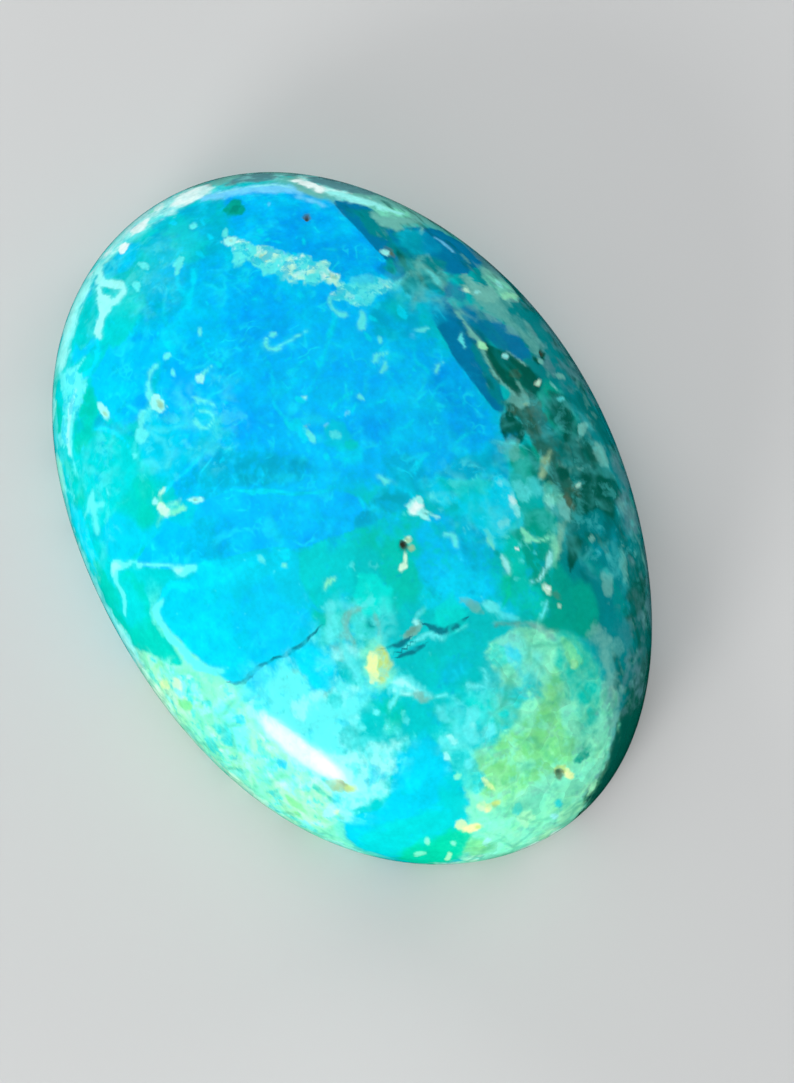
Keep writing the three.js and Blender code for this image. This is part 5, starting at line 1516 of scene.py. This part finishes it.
# ------------------------------------------------------------------------ the opal's looks
EDGE = (0.05, 0.95)  # the shares where a mineral's edge starts and ends
EDGE_NOISE = 0.2
TRACE = 0.1  # a mineral with less than this share fades out
TINTS = {
    "haze": (0, 199, 240),
    "curls": (20, 222, 244),
    "dark blotches": (56, 184, 150),
    "dark rims": (50, 180, 142),
    "pockets": (10, 196, 224),
    "cracks": (8, 104, 122),
}
MATRIX_PEBBLE = 0.8  # mm across
CRACK_JITTER = 0.09
POLISH, GRAIN_DULLS, SAW_DULLS, PIT_DULLS = 0.11, 0.08, 0.35, 0.5  # roughness
REFRACTION = 1.45
BUMP_HEIGHT, BUMP_STRENGTH = 0.02 * MM, 0.4

fine = swing(0.16, 3)
coarse = swing(0.5, 3)
jitter = arithmetic("ADD", fine, arithmetic("MULTIPLY", coarse, 0.5))
in_blue = attribute("wisps")
in_matrix = attribute("grain")
sawn = attribute("sawn")


def mineral_colours():
    """The minerals' colours, with edges that the noise breaks up."""
    colour = linear(MINERALS[mineral_names[0]])
    for name in mineral_names[1:]:
        share = attribute(name)
        shaken = arithmetic("MULTIPLY_ADD", jitter, EDGE_NOISE, share)
        shown = arithmetic("MULTIPLY", between(shaken, *EDGE), between(share, 0.0, TRACE))
        colour = mix(shown, colour, linear(MINERALS[name]))
    return colour


def hazy_blue(colour):
    """Clouds of a paler blue in the blue, with faint bright walls and curls over them."""
    haze = between(noise(1.6, 5, 0.6), 0.42, 0.72)
    haze = arithmetic("MULTIPLY_ADD", between(noise(0.5, 4, 0.6), 0.5, 0.7), 0.4, haze)
    colour = overlay(colour, arithmetic("MULTIPLY", haze, in_blue), 0.5, TINTS["haze"])
    thin_walls = arithmetic("MULTIPLY", walls(2.3, 0.12, 1.5, 0.45, 0.7), in_blue)
    colour = overlay(colour, thin_walls, 0.35, MINERALS["glint"])
    wisps = arithmetic("MAXIMUM", curls(1.7, 0.07, 1.3, 0.46, 0.62), curls(0.9, 0.06, 1.1, 0.5, 0.66))
    return overlay(colour, arithmetic("MULTIPLY", wisps, in_blue), 0.6, TINTS["curls"])


def netted_turquoise(colour):
    """Pale blotches and walls in the turquoise."""
    pale = arithmetic("MAXIMUM", walls(1.3, 0.25, 1.2, 0.4, 0.65), blotches(0.8, 0.5, 0.66))
    return overlay(colour, arithmetic("MULTIPLY", pale, attribute("net")), 0.5, MINERALS["ice"])


def pebbled_matrix(colour):
    """The matrix's pebbles: darker blotches, and a pale and a dark rim round them."""
    dark = arithmetic("MULTIPLY", blotches(0.7, 0.48, 0.66), in_matrix)
    colour = overlay(colour, dark, 0.3, TINTS["dark blotches"])
    pale_rims = walls(MATRIX_PEBBLE, 0.25, 0.9, 0.35, 0.65, 0.6)
    pale_rims = arithmetic("MULTIPLY", pale_rims, in_matrix)
    colour = overlay(colour, pale_rims, 0.25, MINERALS["pistachio"])
    dark_rims = arithmetic("MULTIPLY", walls(1.4, 0.12, 1.1, 0.35, 0.6, 0.5), in_matrix)
    return overlay(colour, dark_rims, 0.45, TINTS["dark rims"])


def pocketed_vein(colour):
    """The pockets of blue in the cream vein."""
    pockets = arithmetic("MULTIPLY", blotches(0.42, 0.47, 0.58), attribute("vein"))
    return overlay(colour, pockets, 0.75, TINTS["pockets"])


def crack_lines():
    """A line along each crack, which fades a little in places."""
    side = arithmetic("MULTIPLY_ADD", jitter, CRACK_JITTER, attribute("crack_side"))
    line = between(arithmetic("ABSOLUTE", side), 0.14, 0.03)
    line = arithmetic("MULTIPLY", line, attribute("crack_cover"))
    return arithmetic("MULTIPLY", line, between(noise(0.6, 2), 0.36, 0.54, 0.3, 1.0))


def mottled(colour):
    """Makes each grain a little lighter or darker, and a little greener or bluer."""
    pebble_tone = arithmetic("SUBTRACT", cells(MATRIX_PEBBLE, 0.6, "F1"), 0.5)
    lightness = arithmetic("MULTIPLY_ADD", coarse, 0.34, 1.0)
    lightness = arithmetic("MULTIPLY_ADD", fine, 0.22, lightness)
    lightness = arithmetic("MULTIPLY_ADD", swing(1.5, 4, 0.6), 0.26, lightness)
    pebble_tone = arithmetic("MULTIPLY", pebble_tone, in_matrix)
    lightness = arithmetic("MULTIPLY_ADD", pebble_tone, 0.3, lightness)
    hue_swing = arithmetic("MULTIPLY_ADD", in_blue, -0.045, -0.014)  # most of all in the blue
    hue = arithmetic("MULTIPLY_ADD", swing(0.9, 3), hue_swing, 0.5)
    node = nodes.new("ShaderNodeHueSaturation")
    plug(lightness, node.inputs["Value"])
    plug(hue, node.inputs["Hue"])
    plug(colour, node.inputs["Color"])
    return node.outputs["Color"]


def polish():
    """A wet gloss, a little duller on the granular matrix and in the pits, and sawn matt below."""
    roughness = arithmetic("MULTIPLY_ADD", in_matrix, GRAIN_DULLS, POLISH)
    roughness = arithmetic("MULTIPLY_ADD", sawn, SAW_DULLS, roughness)
    return arithmetic("MULTIPLY_ADD", attribute("pit"), PIT_DULLS, roughness)


def relief(cracks):
    """A fine unevenness, stronger on the matrix and the sawn back, with the cracks sunk in."""
    height = arithmetic("MULTIPLY", jitter, arithmetic("ADD", in_matrix, 0.35))
    height = arithmetic("MULTIPLY_ADD", sawn, fine, height)
    height = arithmetic("MULTIPLY_ADD", cracks, -0.5, height)
    bump = nodes.new("ShaderNodeBump")
    bump.inputs["Distance"].default_value = BUMP_HEIGHT
    bump.inputs["Strength"].default_value = BUMP_STRENGTH
    plug(height, bump.inputs["Height"])
    return bump.outputs["Normal"]


cracks = crack_lines()
colour = mineral_colours()
colour = hazy_blue(colour)
colour = netted_turquoise(colour)
colour = pebbled_matrix(colour)
colour = pocketed_vein(colour)
colour = overlay(colour, cracks, 0.85, TINTS["cracks"])
plug(mottled(colour), shader.inputs["Base Color"])
plug(polish(), shader.inputs["Roughness"])
plug(relief(cracks), shader.inputs["Normal"])
shader.inputs["IOR"].default_value = REFRACTION

stone_data.materials.append(opal)
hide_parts("cabochon")
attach(stone, "root")

# ------------------------------------------------------------------------------ the floor
FLOOR_CORNERS = [(-1.5, -1.5, 0), (1.5, -1.5, 0), (1.5, 1.5, 0), (-1.5, 1.5, 0)]  # metres
floor_data = bpy.data.meshes.new("floor")
floor_data.from_pydata(FLOOR_CORNERS, [], [(0, 1, 2, 3)])
floor = bpy.data.objects.new("floor", floor_data)
bpy.context.scene.collection.objects.link(floor)
paper = bpy.data.materials.new("pale_floor")
paper.use_nodes = True
paper_shader = paper.node_tree.nodes["Principled BSDF"]
paper_shader.inputs["Base Color"].default_value = (0.62, 0.62, 0.61, 1)
paper_shader.inputs["Roughness"].default_value = 0.9
floor_data.materials.append(paper)
floor.visible_glossy = False


# ----------------------------------------------------------------------- light and camera
def facing(azimuth, elevation):
    """The direction from the stone at an angle round from +X and above the floor, in degrees."""
    a, e = math.radians(azimuth), math.radians(elevation)
    return Vector((math.cos(e) * math.cos(a), math.cos(e) * math.sin(a), math.sin(e)))


def softbox(name, azimuth, elevation, distance, width, height, radiance, shows):
    """A flat light that faces the stone, with the brightness of its face."""
    light = bpy.data.lights.new(name, "AREA")
    light.shape = "ELLIPSE"
    light.size, light.size_y = width, height
    light.energy = radiance * math.pi * width * height
    lamp = bpy.data.objects.new(name, light)
    away = facing(azimuth, elevation)
    lamp.location = away * distance
    lamp.rotation_euler = away.to_track_quat("Z", "Y").to_euler()
    lamp.visible_glossy = shows
    bpy.context.scene.collection.objects.link(lamp)


# Angles in degrees, distance and size in metres, brightness, and whether the polish shows it.
softbox("strip_softbox", -65, 17, 0.30, 0.125, 0.07, 16, True)
softbox("key_softbox", -62, 33, 0.40, 0.20, 0.20, 0.4, False)
softbox("ceiling_softbox", -66, 88, 0.60, 1.2, 1.2, 0.36, False)
softbox("low_softbox_left", 188, 10, 0.40, 0.20, 0.20, 7.6, False)
softbox("low_softbox_front", -75, 10, 0.40, 0.20, 0.20, 3.5, False)
softbox("low_softbox_right", -5, 10, 0.40, 0.20, 0.20, 3.4, False)
softbox("low_softbox_back", 100, 10, 0.40, 0.20, 0.20, 4.4, False)

world = bpy.data.worlds.new("studio")
world.use_nodes = True
background = world.node_tree.nodes["Background"]
background.inputs["Color"].default_value = (0.93, 0.96, 1.0, 1)
background.inputs["Strength"].default_value = 0.46
world.cycles_visibility.glossy = False
bpy.context.scene.world = world
bpy.context.scene.view_settings.view_transform = "Standard"

TARGET = Vector((2.68, 0.44, 3.12)) * MM
CAMERA_ROUND, CAMERA_UP, CAMERA_AWAY = 60.35, 74.13, 68.75 * MM
camera_data = bpy.data.cameras.new("camera")
camera_data.sensor_fit = "VERTICAL"
camera_data.sensor_height = 36
camera_data.lens = 60
camera_data.clip_start = 0.001
camera = bpy.data.objects.new("camera", camera_data)
back = facing(CAMERA_ROUND - 90, CAMERA_UP)
camera.location = TARGET + back * CAMERA_AWAY
camera.rotation_euler = back.to_track_quat("Z", "Y").to_euler()
bpy.context.scene.collection.objects.link(camera)
bpy.context.scene.camera = camera
